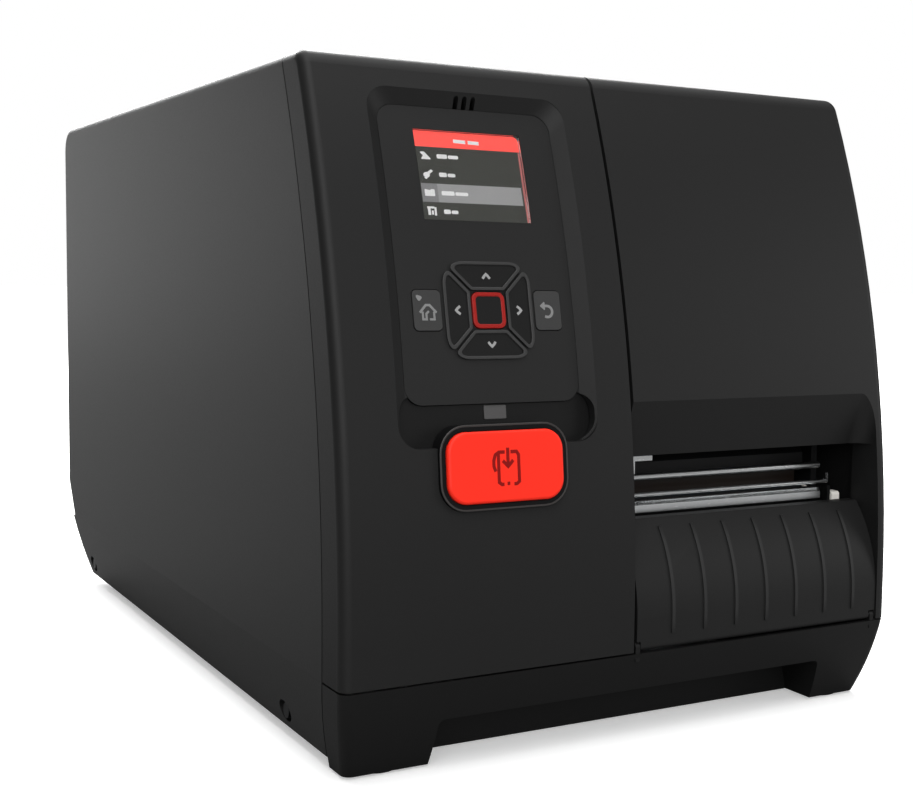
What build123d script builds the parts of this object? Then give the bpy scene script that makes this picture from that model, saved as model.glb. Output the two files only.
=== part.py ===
from build123d import *
from math import asin, atan2, cos, degrees, radians, sin, sqrt
import os

os.makedirs("parts", exist_ok=True)

# A desktop industrial label printer. Millimetres, +Z up, the front faces -Y,
# the origin lies on the table under the middle of the housing.

# ---------------------------------------------------------------- housing
width = 284.0
depth = 483.0
height = 295.0
front, rear = -depth / 2, depth / 2
left, right = -width / 2, width / 2

shell = 3.0              # moulded cover wall
base_wall = 3.5          # moulded base wall
seam = 0.9               # open line between neighbouring covers
cover_gap = 1.6          # open line between front panel and media cover
base_height = 41.0       # table to the line between base and covers
split = -4.8             # the line on which the media cover hinges
panel_edge = split - cover_gap / 2
cover_edge = split + cover_gap / 2

fascia_start = 62.0      # the fascia is upright below this height
fascia_r = 595.0         # and leans back on this radius above it
fascia_mid = front + fascia_r
fascia_turn = 40.0       # degrees of that radius, past the top
brow_r = 9.0             # top front edge
tail_r = 15.0            # top rear corner
edge_r = 4.5             # every other long edge of the housing
toe_top = 62.0           # the lower rear edge slopes in from here
toe_slope = 38.0 / 54.0
strip = 20.5             # width of the front panel's return on the left side
strip_narrow = 3.0       # how much narrower it is at the table
reach_up = 20.0          # the line beside it is drawn past the top
reach_down = 5.0         # and below the table

skirt_front = 17.6       # how far the base draws in at the table, front
skirt_front_mid = 7.3
skirt_left = 8.5         # left
skirt_left_mid = 3.3
skirt_right = 3.0        # right
skirt_right_mid = 1.0
skirt_mid_height = 20.0

# ---------------------------------------------------------------- base
foot_stand = 1.2         # rubber below the legs
foot_r = 9.0
foot_seat = 1.2
foot_post_r = 12.0
foot_front_y = 28.0
foot_rear_y = depth - 58.0
foot_left = 26.5         # foot centres, in from the sides
foot_right = 18.0
foot_xs = (left + foot_left, right - foot_right)
belly = 8.0              # underside of the tray
tray_floor = belly + base_wall
cover_drop = 6.0         # lower edge of the side cover
cover_return = 20.0      # the side cover reaches this far round the rear of the base
cover_play = 0.4         # behind the side cover's lower wall
cover_inset = shell + cover_play
recess_back = 35.0       # finger recess under the front
recess_height = 23.0
recess_left = -96.5
recess_right = 110.0
recess_draft = 5.0
recess_r = 3.0
leg_depth = recess_back + base_wall

# ---------------------------------------------------------------- controls
panel_x = split - 64.7
well_width = 93.2        # control well, at the fascia
well_floor_width = 82.0
well_depth = 4.5
well_top = height - 13.0
well_bottom = well_top - 146.8
well_r = 10.0            # the well's corners, seen square on
mitre_r = 16.0           # where its side slopes meet the upper one
plate_top = well_top - 7.0
plate_bottom = well_bottom + 16.8
plate_t = 2.0
foot_depth = 5.7         # the well's foot, below the fascia
foot_wall = 0.9          # the foot's side walls lie this far inside the well's edge
foot_flank = 4.2         # the foot reaches this far up beside the plate
plate_play = 0.15
plate_seat = 0.1         # clearance behind the plate
well_back = 9.5          # rear of the well's floor, below the fascia
well_corner = 8.0
well_margin = 4.0        # the well's surround, beyond its edge
brow_run = 4.0           # the well's upper slope is cut this many lengths past its ends
plate_reach = 30.0       # how far a cut square to the plate runs each way
sound_count = 3
sound_slot = 2.2
sound_pitch = 4.0
sound_height = 5.2
sound_drop = 3.6         # slots below the well's upper edge
light_size = (10.5, 5.8)
light_r = 0.6
light_gap = 0.7          # below the plate's lower edge
light_length = 5.0
light_play = 0.1
light_proud = 0.3
screen_room = (54.0, 44.0)
mat_size = (74.0, 49.0)

screen_width = 50.6
screen_bottom = plate_top - 48.6
screen_top = plate_top - 8.6
glass_t = 1.4

pad_z = plate_top - 84.7     # keypad centre
pad_r = 8.7              # outer corners of the direction pad
key_gap = 0.35
key_proud = 0.35
key_t = 2.1
key_travel = 0.6
key_reach = 19.4         # outer edge of the four direction keys, from the pad's centre
key_inner = 9.6
key_half_in = 7.2
key_r = 1.2
select_width = 15.2
select_r = 3.0
side_key_r = 2.0
mat_play = 0.45          # between a pressed key and the mat
mat_depth = key_t - key_proud + key_travel + mat_play
board_play = 0.7
board_depth = well_back - well_depth + board_play
board_t = 1.6
module_depth = 2.05      # display module below the plate's face
module_play = 0.2
board_margin = 3.2
side_key_x = 28.3
side_key_width = 12.6
side_key_height = 16.8

button_z = plate_bottom - 25.2
button_width = 54.0
button_height = 29.4
button_r = 8.6
button_proud = 3.4
button_travel = 1.5
ring_wall = 2.9
ring_proud = 1.7
ring_depth = 6.5
ring_floor = 1.5
button_gap = 0.3
button_skirt = 3.0       # lower edge of the button's skirt below the fascia
button_wall = 2.4
button_edge_r = 1.4
switch_size = 10.0
switch_height = 3.6
plunger_r = 2.0
plunger_play = 0.2       # between the pressed button and the plunger
plunger_tip = button_travel + button_wall - button_proud + plunger_play

# ---------------------------------------------------------------- label exit
scoop_top = base_height + 110.0
scoop_bottom = base_height + 85.0
scoop_depth = 15.0       # lower edge of the scoop behind the front plane
scoop_corner = 8.0
scoop_run = 2.5          # the scoop's slope is cut this many lengths up
cheek_width = 6.5        # the cover's narrow right cheek
cheek_depth = 20.6
door_top = base_height + 56.5
door_flat_top = base_height + 15.0
door_r = 2.6             # hinge axis of the front door behind the front plane
door_pin_r = 1.2
door_ear = 2.3
door_t = 3.0
door_lip = 6.0
door_lip_t = 2.5
door_lip_set = 0.5       # the lip starts this far inside the door's face
door_end_left = 0.2      # the door's ears, in from the cover's edge
door_end_right = 1.0     # and in from the right cheek
rib_count = 7
rib_pitch = 17.5
rib_first = 15.5
rib_width = 1.8
rib_proud = 0.6
rib_low = base_height + 7.0
rib_high = base_height + 53.0
door_roll_r = door_r - rib_proud     # rolled lower edge, flush with the door's face
door_axis_z = base_height + seam / 2 + door_roll_r
door_pin_length = 9.0
door_gap = 0.4           # clearance round the front door
fascia_door_r = 63.0     # the front door's upper half leans back on this radius

# ---------------------------------------------------------------- cover hinge and window
hinge_lift = 0.6         # axis above the top of the covers
hinge_r = 3.5
hinge_pin_r = 1.5
hinge_length = 36.0
hinge_core = 14.0        # length of the fixed middle knuckle
hinge_slack = 0.4
hinge_ys = (front + 135.0, rear - 95.0)
leaf_t = 2.4
leaf_width = 14.0
rim = 12.0               # return of the covers round the rear
rear_sheet = 2.0
rear_inset = 7.0
rear_crown = 7.5         # top edge of the rear panel below the top of the housing
inlet_x = left + 42.0
inlet_z = base_height + 64.0
inlet_size = (27.4, 19.8)
inlet_flange = (50.0, 24.0)
inlet_flange_t = 2.4
inlet_socket = (24.4, 16.4)
inlet_socket_depth = 17.0
inlet_length = 22.0
inlet_r = 3.0
blade = (2.0, 4.0, 15.0)
blade_pitch = 7.0
blade_rise = 2.0
switch_z = base_height + 102.0
switch_body = (21.0, 13.4)
switch_flange = (25.0, 17.5)
switch_wall = 1.4
switch_depth = 14.0
rocker_size = (17.6, 9.8)
rocker_pin_r = 1.2
rocker_swing = 8.0       # half of the rocker's swing, in degrees
rocker_back = 3.6        # rocker's rear below its pin
rocker_front = 2.4       # its valley above the pin
rocker_room = 2.4        # opening in the housing, longer than the rocker
rocker_seat = 0.35       # the pin's bore ends this deep in the housing's wall
rocker_hold = 0.7        # the pin ends this deep
network_z = base_height + 102.0
network_size = (16.4, 13.6)
network_mouth = (11.8, 9.6)
network_depth = 21.0
usb_z = base_height + 76.0
usb_size = (12.2, 11.0)
usb_mouth = (8.8, 8.2)
usb_tongue = (4.4, 2.7)
usb_depth = 16.0
serial_z = base_height + 40.0
serial_size = (12.6, 31.0)
serial_shell = (8.4, 17.2)
serial_depth = 12.0
port_proud = 1.6
port_play = 0.3
port_wall = 1.0
fanfold_left = 9.8       # slot for folded stock, from the hinge line
fanfold_width = 113.0
fanfold_z = base_height + 34.0
fanfold_height = 10.0
fanfold_r = 3.3
vent_count = (3, 7)
vent_size = (30.0, 3.0)
vent_pitch = (36.0, 8.0)
vent_x = left + 72.0
vent_z = height - 62.0
window_front = 118.0     # from the front plane
window_rear = 70.0       # from the rear
window_low = 52.0        # above the base line
window_high = 46.0       # below the top
window_r = 14.0
window_lip = 4.0
window_t = 2.1
window_play = 0.15
web_t = 2.5              # stiffening webs along the cover line
web_depth = 17.5
grip_length = 66.0       # hand notch in the cover's lower edge
grip_height = 11.0
grip_y = front + 205.0
screw_spots = (front + 75.5, rear - 51.0)
screw_z = 14.0
screw_hole = (13.5, 9.8)
screw_head_r = 3.4
screw_r = 1.9
screw_seat = left + 7.2
screw_head = 2.2
screw_length = 9.0

# ---------------------------------------------------------------- frame behind the covers
platen_y = 40.0
platen_z = base_height + 54.5
platen_r = 8.5
wall_left = split - 5.7
wall_right = split - 1.7
wall_play = 0.4
wall_window = (190.0, 60.0)      # cable opening in the centre wall
wall_window_y = 300.0
wall_window_z = base_height + 33.0
bracket_drop = 27.0
bracket_t = 1.9
frame_x = 120.0          # right frame plate
frame_t = 3.5
frame_front = 33.0
frame_rear = 128.0
frame_top = base_height + 109.0
frame_cut = 16.0
frame_foot_front = 42.0
frame_screw_spots = ((50.0, 34.0), (84.0, 57.0), (104.0, 84.0), (60.0, 90.0))
frame_screw_r = 3.0
frame_screw_head = 1.8
frame_screw_shank = 1.6
frame_screw_length = frame_t
tab_reach = 7.5          # shelf beside the frame plate for the latch block
tab_front = 24.0
tab_rear = 35.5
tab_low = base_height + 51.0
tab_t = 3.3
leaf_x = 124.1
leaf_y = 25.0
leaf_size = (1.7, 4.0, 8.6)
channel_front = 28.6
channel_rear = 50.0
channel_low = base_height + 29.0
channel_high = platen_z - platen_r
channel_wall = 2.1
channel_weld = 0.5       # the channel is let this far into the frame plate
bar_low = base_height + 56.6
bar_depth = 6.4
bar_gap = 0.6            # tear bar to platen
bar_rear = platen_y - platen_r - bar_gap
bar_front = bar_rear - bar_depth
bar_height = 5.8
bar_bevel = 1.6
bar_left = split + 4.8
bar_right = 119.0
block_size = (5.0, 7.0, 5.7)

# ---------------------------------------------------------------- print mechanism
platen_left = split + 7.8
platen_right = 117.0
platen_shaft_r = 4.0
bearing_r = 7.0
bearing_flange_r = 8.4
bearing_flange = 1.5
gear_module = 1.5
platen_teeth = 28
pinion_teeth = 14
gear_left = split - 16.2
gear_width = 6.5
tooth_share = 0.42       # tooth thickness on the pitch circle, in pitches
tooth_tip = 0.95
tooth_root = 1.25
tooth_root_share = 0.588 # tooth thickness at its root
tooth_tip_share = 0.189  # and at its tip
shaft_flat = 1.0         # flat on the platen's shaft
pinion_shaft = 13.0      # the motor's shaft inside the motor
mesh_rise = 16.2         # pinion axis below the platen axis
pinion_shaft_r = 3.1
motor_square = 56.4
motor_length = 52.0
motor_face = split - 22.2
motor_corner = 5.0
motor_boss_r = 19.0
motor_boss_t = 1.4
plate_post_r = 4.0
mount_t = 2.5
mount_spots = ((26.0, 25.7), (26.0, -26.3), (-26.0, -26.3))

head_pivot_y = 98.0
head_pivot_z = base_height + 79.0
pivot_rod_r = 3.0
head_left = split + 6.8
head_right = 116.0
head_front = 35.0
head_face = 8.0
head_low = base_height + 71.0
head_top = base_height + 83.0
head_ear_r = 8.5
head_pocket = (54.0, 40.0, 7.0)
thermal_front = 36.0
thermal_depth = 14.0
thermal_gap = 0.15
thermal_margin = 4.0
thermal_seat = 1.0       # the strip is let this far into the carriage
nib_r = 1.5

lever_y = 66.0
lever_z = base_height + 101.0
lever_shaft_r = 3.5
lever_x = 125.5
lever_t = 5.5
lever_hub_r = 7.0
lever_arm = 42.0
lever_grip_r = 5.0
cam_reach = 11.5
cam_r = 5.0
cam_hub_r = 6.0
cam_width = 8.0
cam_xs = (24.0, 94.0)

rod_y = 30.0
rod_z = base_height + 73.0
rod_r = 1.7
rod_right = 121.7
wire_y = 26.0
wire_z = base_height + 65.3
wire_r = 1.0
wire_right = 124.2
wire_hook = 4.0
tie_low = base_height + 81.5
tie_t = 2.2
tie_front = 22.0
tie_rear = 32.0
tie_length = 23.5
post_x = 9.5
post_size = (3.0, 2.0, 6.5)
post_y = 28.0

guide_y = 118.0
guide_z = base_height + 53.0
guide_r = 6.0
guide_axle_r = 2.5
guide_left = split + 6.8
guide_right = 117.0
deck_front = 52.0
deck_rear = 108.0
deck_low = base_height + 56.0
deck_t = 4.0
deck_r = 1.33
sensor_x = 56.0
sensor_y = 74.0
sensor_size = (14.0, 16.0, 6.0)
sensor_slot = (3.0, 10.0)
groove_y = 92.0
groove_width = 4.0
groove_left = 34.0
edge_t = 5.0
edge_height = 7.0
edge_front = 62.0
edge_rear = 102.0
edge_right = 117.0
edge_play = 0.15
edge_foot = 3.0
edge_foot_y = 10.0

# ---------------------------------------------------------------- ribbon and labels
supply_y = 185.0
supply_z = base_height + 149.0
takeup_y = 100.0
takeup_z = base_height + 174.0
spindle_r = 12.5
spindle_core_r = 10.8
spindle_fin_count = 3
spindle_fin = 2.0
spindle_right = 112.0
spindle_flange_r = 17.0
spindle_flange = 2.5
spindle_shaft_r = 4.0
clutch_r = 17.0
clutch_depth = 11.5
clutch_step_r = 13.0
hanger_y = depth - 153.0
hanger_z = base_height + 109.0
hanger_r = 18.0
hanger_flat = 9.0        # the bar is cut flat this far below its axis
hanger_right = 122.0
hanger_flange_r = 26.0
hanger_flange = 3.0
hanger_lip_t = 3.5
guide_disc_r = 44.0
guide_disc_t = 2.5
guide_hub_r = 25.0
guide_hub = 12.0
guide_disc_right = 117.0
guide_slack = 0.3

# ---------------------------------------------------------------- electronics
board_x = wall_left - 13.9
board_front = 150.0
board_rear = depth - 15.0
board_low = base_height + 19.0
board_high = base_height + 149.0
standoff_r = 3.0
standoff_in = 7.0
heatsink = (14.0, 60.0, 30.0)
heatsink_y = 250.0
heatsink_z = base_height + 99.0
heatsink_fin = 2.0
heatsink_pitch = 5.0
capacitor_count = 3
capacitor_r = 8.0
capacitor_height = 16.0
capacitor_y = 215.0
capacitor_z = base_height + 50.0
capacitor_pitch = 20.0
chip = (2.0, 26.0, 26.0)
chip_y = 350.0
chip_z = base_height + 70.0
supply_box_left = left + 20.0
supply_box_width = 66.0
supply_box_front = depth - 190.0
supply_box_length = 140.0
supply_box_height = 66.0
supply_box_wall = 1.5
supply_vents = 8
supply_vent = 4.0
supply_vent_pitch = 9.0
coil_size = (30.0, 34.0, 28.0)
coil_in = 15.0           # from the box's left side

over = 1.0               # cutters run this far past what they cut, joined bodies this far in
least_r = 1.0            # smallest radius of an inner corner
run_fit = 0.05           # radial clearance of a turning fit
press_fit = 0.02         # radial clearance of a part that stays put
side_play = 0.3          # clearance beside a turning part


def lean(z, inset=0.0):
    # y of the fascia, or of the surface that lies inset behind it, at height z
    rise = max(z - fascia_start, 0.0)
    return fascia_mid - sqrt((fascia_r - inset) ** 2 - rise**2)


def tilt(z, inset=0.0):
    # how far the fascia has turned back from upright, in degrees
    return degrees(asin(max(z - fascia_start, 0.0) / (fascia_r - inset)))


def toe(z, inset=0.0):
    # y of the sloping lower rear edge at height z
    run = (toe_top - z) * toe_slope + inset * sqrt(1 + toe_slope**2)
    return min(rear - inset, rear - run)


def toe_break(inset):
    return toe_top + inset * (sqrt(1 + toe_slope**2) - 1) / toe_slope


def beyond(p, q, share):
    # the point that lies share of the way from p to q
    return (p[0] + (q[0] - p[0]) * share, p[1] + (q[1] - p[1]) * share)


def fascia_plane(z, inset=0.0):
    # plane that touches the fascia at the controls' centre line
    a = radians(tilt(z, inset))
    return Plane(origin=(panel_x, lean(z, inset), z), x_dir=(1, 0, 0), z_dir=(0, -cos(a), sin(a)))


def upper_outline(inset, front_inset=None, floor=base_height):
    # side view of the housing above the base
    lead = inset if front_inset is None else front_inset
    top = height - inset
    mid = (fascia_start + top) / 2
    with BuildSketch() as outline:
        with BuildLine():
            Line((lean(floor, lead), floor), (lean(floor, lead), fascia_start))
            ThreePointArc(
                (lean(fascia_start, lead), fascia_start),
                (lean(mid, lead), mid),
                (lean(top, lead), top),
            )
            Polyline(
                (lean(top, lead), top),
                (rear - inset, top),
                (rear - inset, toe_break(inset)),
                (toe(floor, inset), floor),
                (lean(floor, lead), floor),
            )
        make_face()
        crown = outline.vertices().group_by(Axis.Y)[-1].sort_by(Axis.X)
        fillet(crown[0], radius=max(brow_r - inset, least_r))
        crown = outline.vertices().group_by(Axis.Y)[-1].sort_by(Axis.X)
        fillet(crown[-1], radius=max(tail_r - inset, least_r))
    return outline.sketch


def upper_block(inset):
    with BuildPart() as block:
        with BuildSketch(Plane.YZ.offset(left + inset)):
            add(upper_outline(inset))
        extrude(amount=width - 2 * inset)
        sides = block.faces().filter_by(Axis.X).edges()
        fillet(sides.filter_by(lambda e: e.center().Z > base_height + over), radius=edge_r - inset)
    return block.part


def lower_block(inset, floor, ceiling=base_height):
    # the base below the covers: it draws in towards the table
    mid = skirt_mid_height
    with BuildPart() as block:
        with BuildSketch(Plane.YZ.offset(left)) as outline:
            with BuildLine():
                ThreePointArc(
                    (front + inset, base_height),
                    (front + skirt_front_mid + inset, mid),
                    (front + skirt_front + inset, 0),
                )
                Polyline(
                    (front + skirt_front + inset, 0),
                    (toe(0, inset), 0),
                    (toe(base_height, inset), base_height),
                    (front + inset, base_height),
                )
            make_face()
        extrude(amount=width)
        with BuildSketch(Plane.XZ.offset(-rear)) as ends:
            with BuildLine():
                ThreePointArc(
                    (left + inset, base_height),
                    (left + skirt_left_mid + inset, mid),
                    (left + skirt_left + inset, 0),
                )
                Line((left + skirt_left + inset, 0), (right - skirt_right - inset, 0))
                ThreePointArc(
                    (right - skirt_right - inset, 0),
                    (right - skirt_right_mid - inset, mid),
                    (right - inset, base_height),
                )
                Line((right - inset, base_height), (left + inset, base_height))
            make_face()
        extrude(amount=depth, mode=Mode.INTERSECT)
        nose = block.edges().filter_by(lambda e: e.center().Y < front + skirt_front + inset)
        upright = nose.filter_by(lambda e: abs(e.center().Z - base_height / 2) < base_wall)
        fillet(upright, radius=max(edge_r - inset, least_r))
        with BuildSketch(Plane.XY.offset(floor)):
            Rectangle(2 * width, 2 * depth)
        extrude(amount=ceiling - floor, mode=Mode.INTERSECT)
    return block.part


def behind_seam(offset):
    # side view of everything behind the line between front panel and side cover
    reach = 2 * depth
    high = height + reach_up
    mid = (fascia_start + high) / 2
    line = strip + offset
    low = (front + skirt_front + strip - strip_narrow + offset, -reach_down)
    with BuildSketch() as outline:
        with BuildLine():
            Polyline(low, (front + line, base_height), (front + line, fascia_start))
            ThreePointArc(
                (front + line, fascia_start), (lean(mid) + line, mid), (lean(high) + line, high)
            )
            Polyline((lean(high) + line, high), (reach, high), (reach, -reach_down), low)
        make_face()
    return outline.sketch


def slab(x_centre, x_width, near, far, z_low, z_high):
    # a curved slab between two depths below the fascia
    axis = Axis((0, fascia_mid, fascia_start), (-1, 0, 0))
    with BuildPart() as body:
        with BuildSketch(Plane.XY.offset(fascia_start)):
            with Locations((x_centre, front + (near + far) / 2)):
                Rectangle(x_width, far - near)
        revolve(axis=axis, revolution_arc=fascia_turn)
        with BuildSketch(Plane.XY.offset(z_low)):
            Rectangle(2 * width, 2 * depth)
        extrude(amount=z_high - z_low, mode=Mode.INTERSECT)
    return body.part


def save(piece, name):
    piece.part.label = name
    export_step(piece.part, f"parts/{name}.step")


def span(x0, x1, y0, y1, z0, z1):
    # a block between six limits; depths are taken from the front plane
    with BuildPart() as block:
        with Locations(((x0 + x1) / 2, front + (y0 + y1) / 2, (z0 + z1) / 2)):
            Box(x1 - x0, y1 - y0, z1 - z0)
    return block.part


def shaft(x0, x1, y, z, r):
    # a round bar along X
    with BuildPart() as bar:
        with BuildSketch(Plane.YZ.offset(x0)):
            with Locations((front + y, z)):
                Circle(r)
        extrude(amount=x1 - x0)
    return bar.part


def side_view(points, x0, x1):
    # a body with this outline seen from the side
    with BuildPart() as body:
        with BuildSketch(Plane.YZ.offset(x0)):
            with BuildLine():
                Polyline(*[(front + y, z) for y, z in points], close=True)
            make_face()
        extrude(amount=x1 - x0)
    return body.part


def behind(offset, x0, x1):
    # everything behind the line of the front panel's seam
    with BuildPart() as body:
        with BuildSketch(Plane.YZ.offset(x0)):
            add(behind_seam(offset))
        extrude(amount=x1 - x0)
    return body.part


def web(x0, x1, near, far):
    # an upright web that follows the covers' outline
    with BuildPart() as body:
        with BuildSketch(Plane.YZ.offset(x0)):
            add(upper_outline(near))
            add(upper_outline(far), mode=Mode.SUBTRACT)
        extrude(amount=x1 - x0)
    return body.part


# ---------------------------------------------------------------- skins
with BuildPart() as skin:
    add(upper_block(0))
    add(lower_block(0, 0))
    add(upper_block(shell), mode=Mode.SUBTRACT)
    add(lower_block(shell, -over), mode=Mode.SUBTRACT)


# ---------------------------------------------------------------- base
with BuildPart() as cover_room:
    add(lower_block(0, -over))
    add(lower_block(cover_inset, -2 * over), mode=Mode.SUBTRACT)
    add(behind(-seam / 2, left - over, left + cover_return), mode=Mode.INTERSECT)

with BuildPart() as tray_hollow:
    add(lower_block(base_wall, tray_floor))
    add(
        span(left, left + cover_return + base_wall, strip - base_wall, depth, 0, height),
        mode=Mode.SUBTRACT,
    )
    add(lower_block(base_wall + cover_inset, tray_floor))
    add(
        span(
            recess_left - base_wall,
            recess_right + base_wall,
            -over,
            recess_back + base_wall,
            -over,
            recess_height + base_wall,
        ),
        mode=Mode.SUBTRACT,
    )

door_ends = (cover_edge - door_end_left, right - cheek_width - door_end_right)

with BuildPart() as base_tray:
    base_top = base_height - seam / 2
    add(lower_block(0, foot_stand, base_top))
    add(span(-width, width, leg_depth, 2 * depth, -over, belly), mode=Mode.SUBTRACT)
    with BuildSketch(Plane.XZ.offset(-front - recess_back)) as recess_shape:
        with BuildLine():
            Polyline(
                (recess_left, -over),
                (recess_right, -over),
                (recess_right - recess_draft, recess_height),
                (recess_left, recess_height),
                close=True,
            )
        make_face()
        fillet(recess_shape.vertices().group_by(Axis.Y)[-1], radius=recess_r)
    extrude(amount=2 * recess_back, mode=Mode.SUBTRACT)
    add(cover_room.part, mode=Mode.SUBTRACT)
    add(tray_hollow.part, mode=Mode.SUBTRACT)
    for x in foot_xs:
        with Locations((x, front + foot_rear_y, (foot_stand + tray_floor) / 2)):
            Cylinder(foot_post_r, tray_floor - foot_stand)
        for y in (foot_front_y, foot_rear_y):
            with Locations((x, front + y, foot_stand + foot_seat / 2)):
                Cylinder(foot_r + press_fit, foot_seat, mode=Mode.SUBTRACT)
    for x in (door_ends[0], door_ends[1] - door_ear):
        add(shaft(x, x + door_ear, door_r, door_axis_z, door_roll_r))
        add(
            span(
                x,
                x + door_ear,
                rib_proud,
                rib_proud + 2 * door_roll_r,
                base_top - base_wall,
                door_axis_z,
            )
        )
    add(
        shaft(left, right, door_r, door_axis_z, door_pin_r + press_fit),
        mode=Mode.SUBTRACT,
    )
    for y in screw_spots:
        add(
            shaft(left, left + cover_return, y - front, screw_z, screw_r + press_fit),
            mode=Mode.SUBTRACT,
        )

with BuildPart() as rubber_feet:
    for x in foot_xs:
        for y in (foot_front_y, foot_rear_y):
            with Locations((x, front + y, (foot_stand + foot_seat) / 2)):
                Cylinder(foot_r, foot_stand + foot_seat)

with BuildPart() as cover_screws:
    for y in screw_spots:
        add(shaft(screw_seat - screw_head, screw_seat, y - front, screw_z, screw_head_r))
        add(shaft(screw_seat - screw_head / 2, screw_seat + screw_length, y - front, screw_z, screw_r))

save(base_tray, "base_tray")
save(rubber_feet, "rubber_feet")
save(cover_screws, "cover_screws")

# ---------------------------------------------------------------- side cover
with BuildPart() as side_cover:
    add(skin.part)
    add(behind(seam / 2, left - over, right), mode=Mode.INTERSECT)
    add(span(left - over, panel_edge, 0, 2 * depth, cover_drop, height + over), mode=Mode.INTERSECT)
    add(
        span(left + cover_return - cover_play, right, 0, 2 * depth, -over, base_height + seam / 2),
        mode=Mode.SUBTRACT,
    )
    add(
        span(left + rim, right, depth - 4 * rim, depth + over, 0, height - rim),
        mode=Mode.SUBTRACT,
    )
    for y in hinge_ys:
        reach = hinge_length / 2 + side_play
        add(
            span(
                split - hinge_r - hinge_slack,
                right,
                y - front - reach,
                y - front + reach,
                height - 2 * shell,
                height + over,
            ),
            mode=Mode.SUBTRACT,
        )
    for y in screw_spots:
        with BuildSketch(Plane.YZ.offset(left - over)):
            with Locations((y, screw_z)):
                Ellipse(screw_hole[0] / 2, screw_hole[1] / 2)
        extrude(amount=cover_return, mode=Mode.SUBTRACT)

save(side_cover, "side_cover")

# ---------------------------------------------------------------- front panel
screen_plane = fascia_plane((screen_bottom + screen_top) / 2, well_depth)
pad_plane = fascia_plane(pad_z, well_depth)
button_plane = fascia_plane(button_z)
screen_height = screen_top - screen_bottom
brow_in = (lean(plate_top, well_depth), plate_top)
brow_out = (lean(well_top), well_top)
plate_mid = (plate_bottom + plate_top) / 2
plate_plane = fascia_plane(plate_mid, well_depth)


def on_plate(z, inset=0.0):
    # height of a point of the fascia, measured along the plate's plane
    return plate_plane.to_local_coords(Vector(panel_x, lean(z, inset), z)).Y


def rounded_prism(half_width, low, high, r):
    # a block square to the plate, with rounded corners
    with BuildPart() as block:
        with BuildSketch(plate_plane):
            with Locations((0, (low + high) / 2)):
                RectangleRounded(2 * half_width, high - low, r)
        extrude(amount=plate_reach, both=True)
    return block.part


with BuildPart() as well:
    flare = (well_width - well_floor_width) / 2
    with BuildSketch(Plane.XY.offset(fascia_start)):
        with BuildLine():
            Polyline(
                (panel_x - well_width / 2 - flare, front - well_depth),
                (panel_x - well_floor_width / 2, front + well_depth),
                (panel_x + well_floor_width / 2, front + well_depth),
                (panel_x + well_width / 2 + flare, front - well_depth),
                close=True,
            )
        make_face()
    revolve(axis=Axis((0, fascia_mid, fascia_start), (-1, 0, 0)), revolution_arc=fascia_turn)
    with BuildSketch(Plane.YZ.offset(left)):
        with BuildLine():
            Polyline(
                beyond(brow_in, brow_out, brow_run),
                beyond(brow_out, brow_in, brow_run),
                (beyond(brow_out, brow_in, brow_run)[0], well_bottom),
                (lean(well_bottom) - well_depth, well_bottom),
                (lean(well_bottom) - well_depth, beyond(brow_in, brow_out, brow_run)[1]),
                close=True,
            )
        make_face()
    extrude(amount=width, mode=Mode.INTERSECT)
    mitres = well.edges().filter_by(
        lambda e: e.center().Z > plate_top and abs(e.center().X - panel_x) > well_floor_width / 2
    )
    fillet(mitres, radius=mitre_r)
    add(
        rounded_prism(well_width / 2, on_plate(well_bottom), on_plate(well_top), well_r),
        mode=Mode.INTERSECT,
    )

with BuildPart() as well_foot:
    add(slab(panel_x, width, -foot_depth, foot_depth, fascia_start, height))
    add(
        rounded_prism(
            well_width / 2 - foot_wall,
            on_plate(well_bottom) + foot_wall,
            on_plate(plate_bottom, well_depth) + foot_flank,
            well_r - foot_wall,
        ),
        mode=Mode.INTERSECT,
    )


def plate_body(near, far, play):
    # the curved plate in the floor of the well
    with BuildPart() as body:
        add(slab(panel_x, width, near, far, fascia_start, height + well_depth))
        add(
            rounded_prism(
                well_floor_width / 2 - play,
                on_plate(plate_bottom, well_depth) + play,
                on_plate(plate_top, well_depth) - play,
                well_corner - play,
            ),
            mode=Mode.INTERSECT,
        )
    return body.part


light_plane = fascia_plane(plate_bottom - light_gap - light_size[1] / 2, foot_depth)

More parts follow.
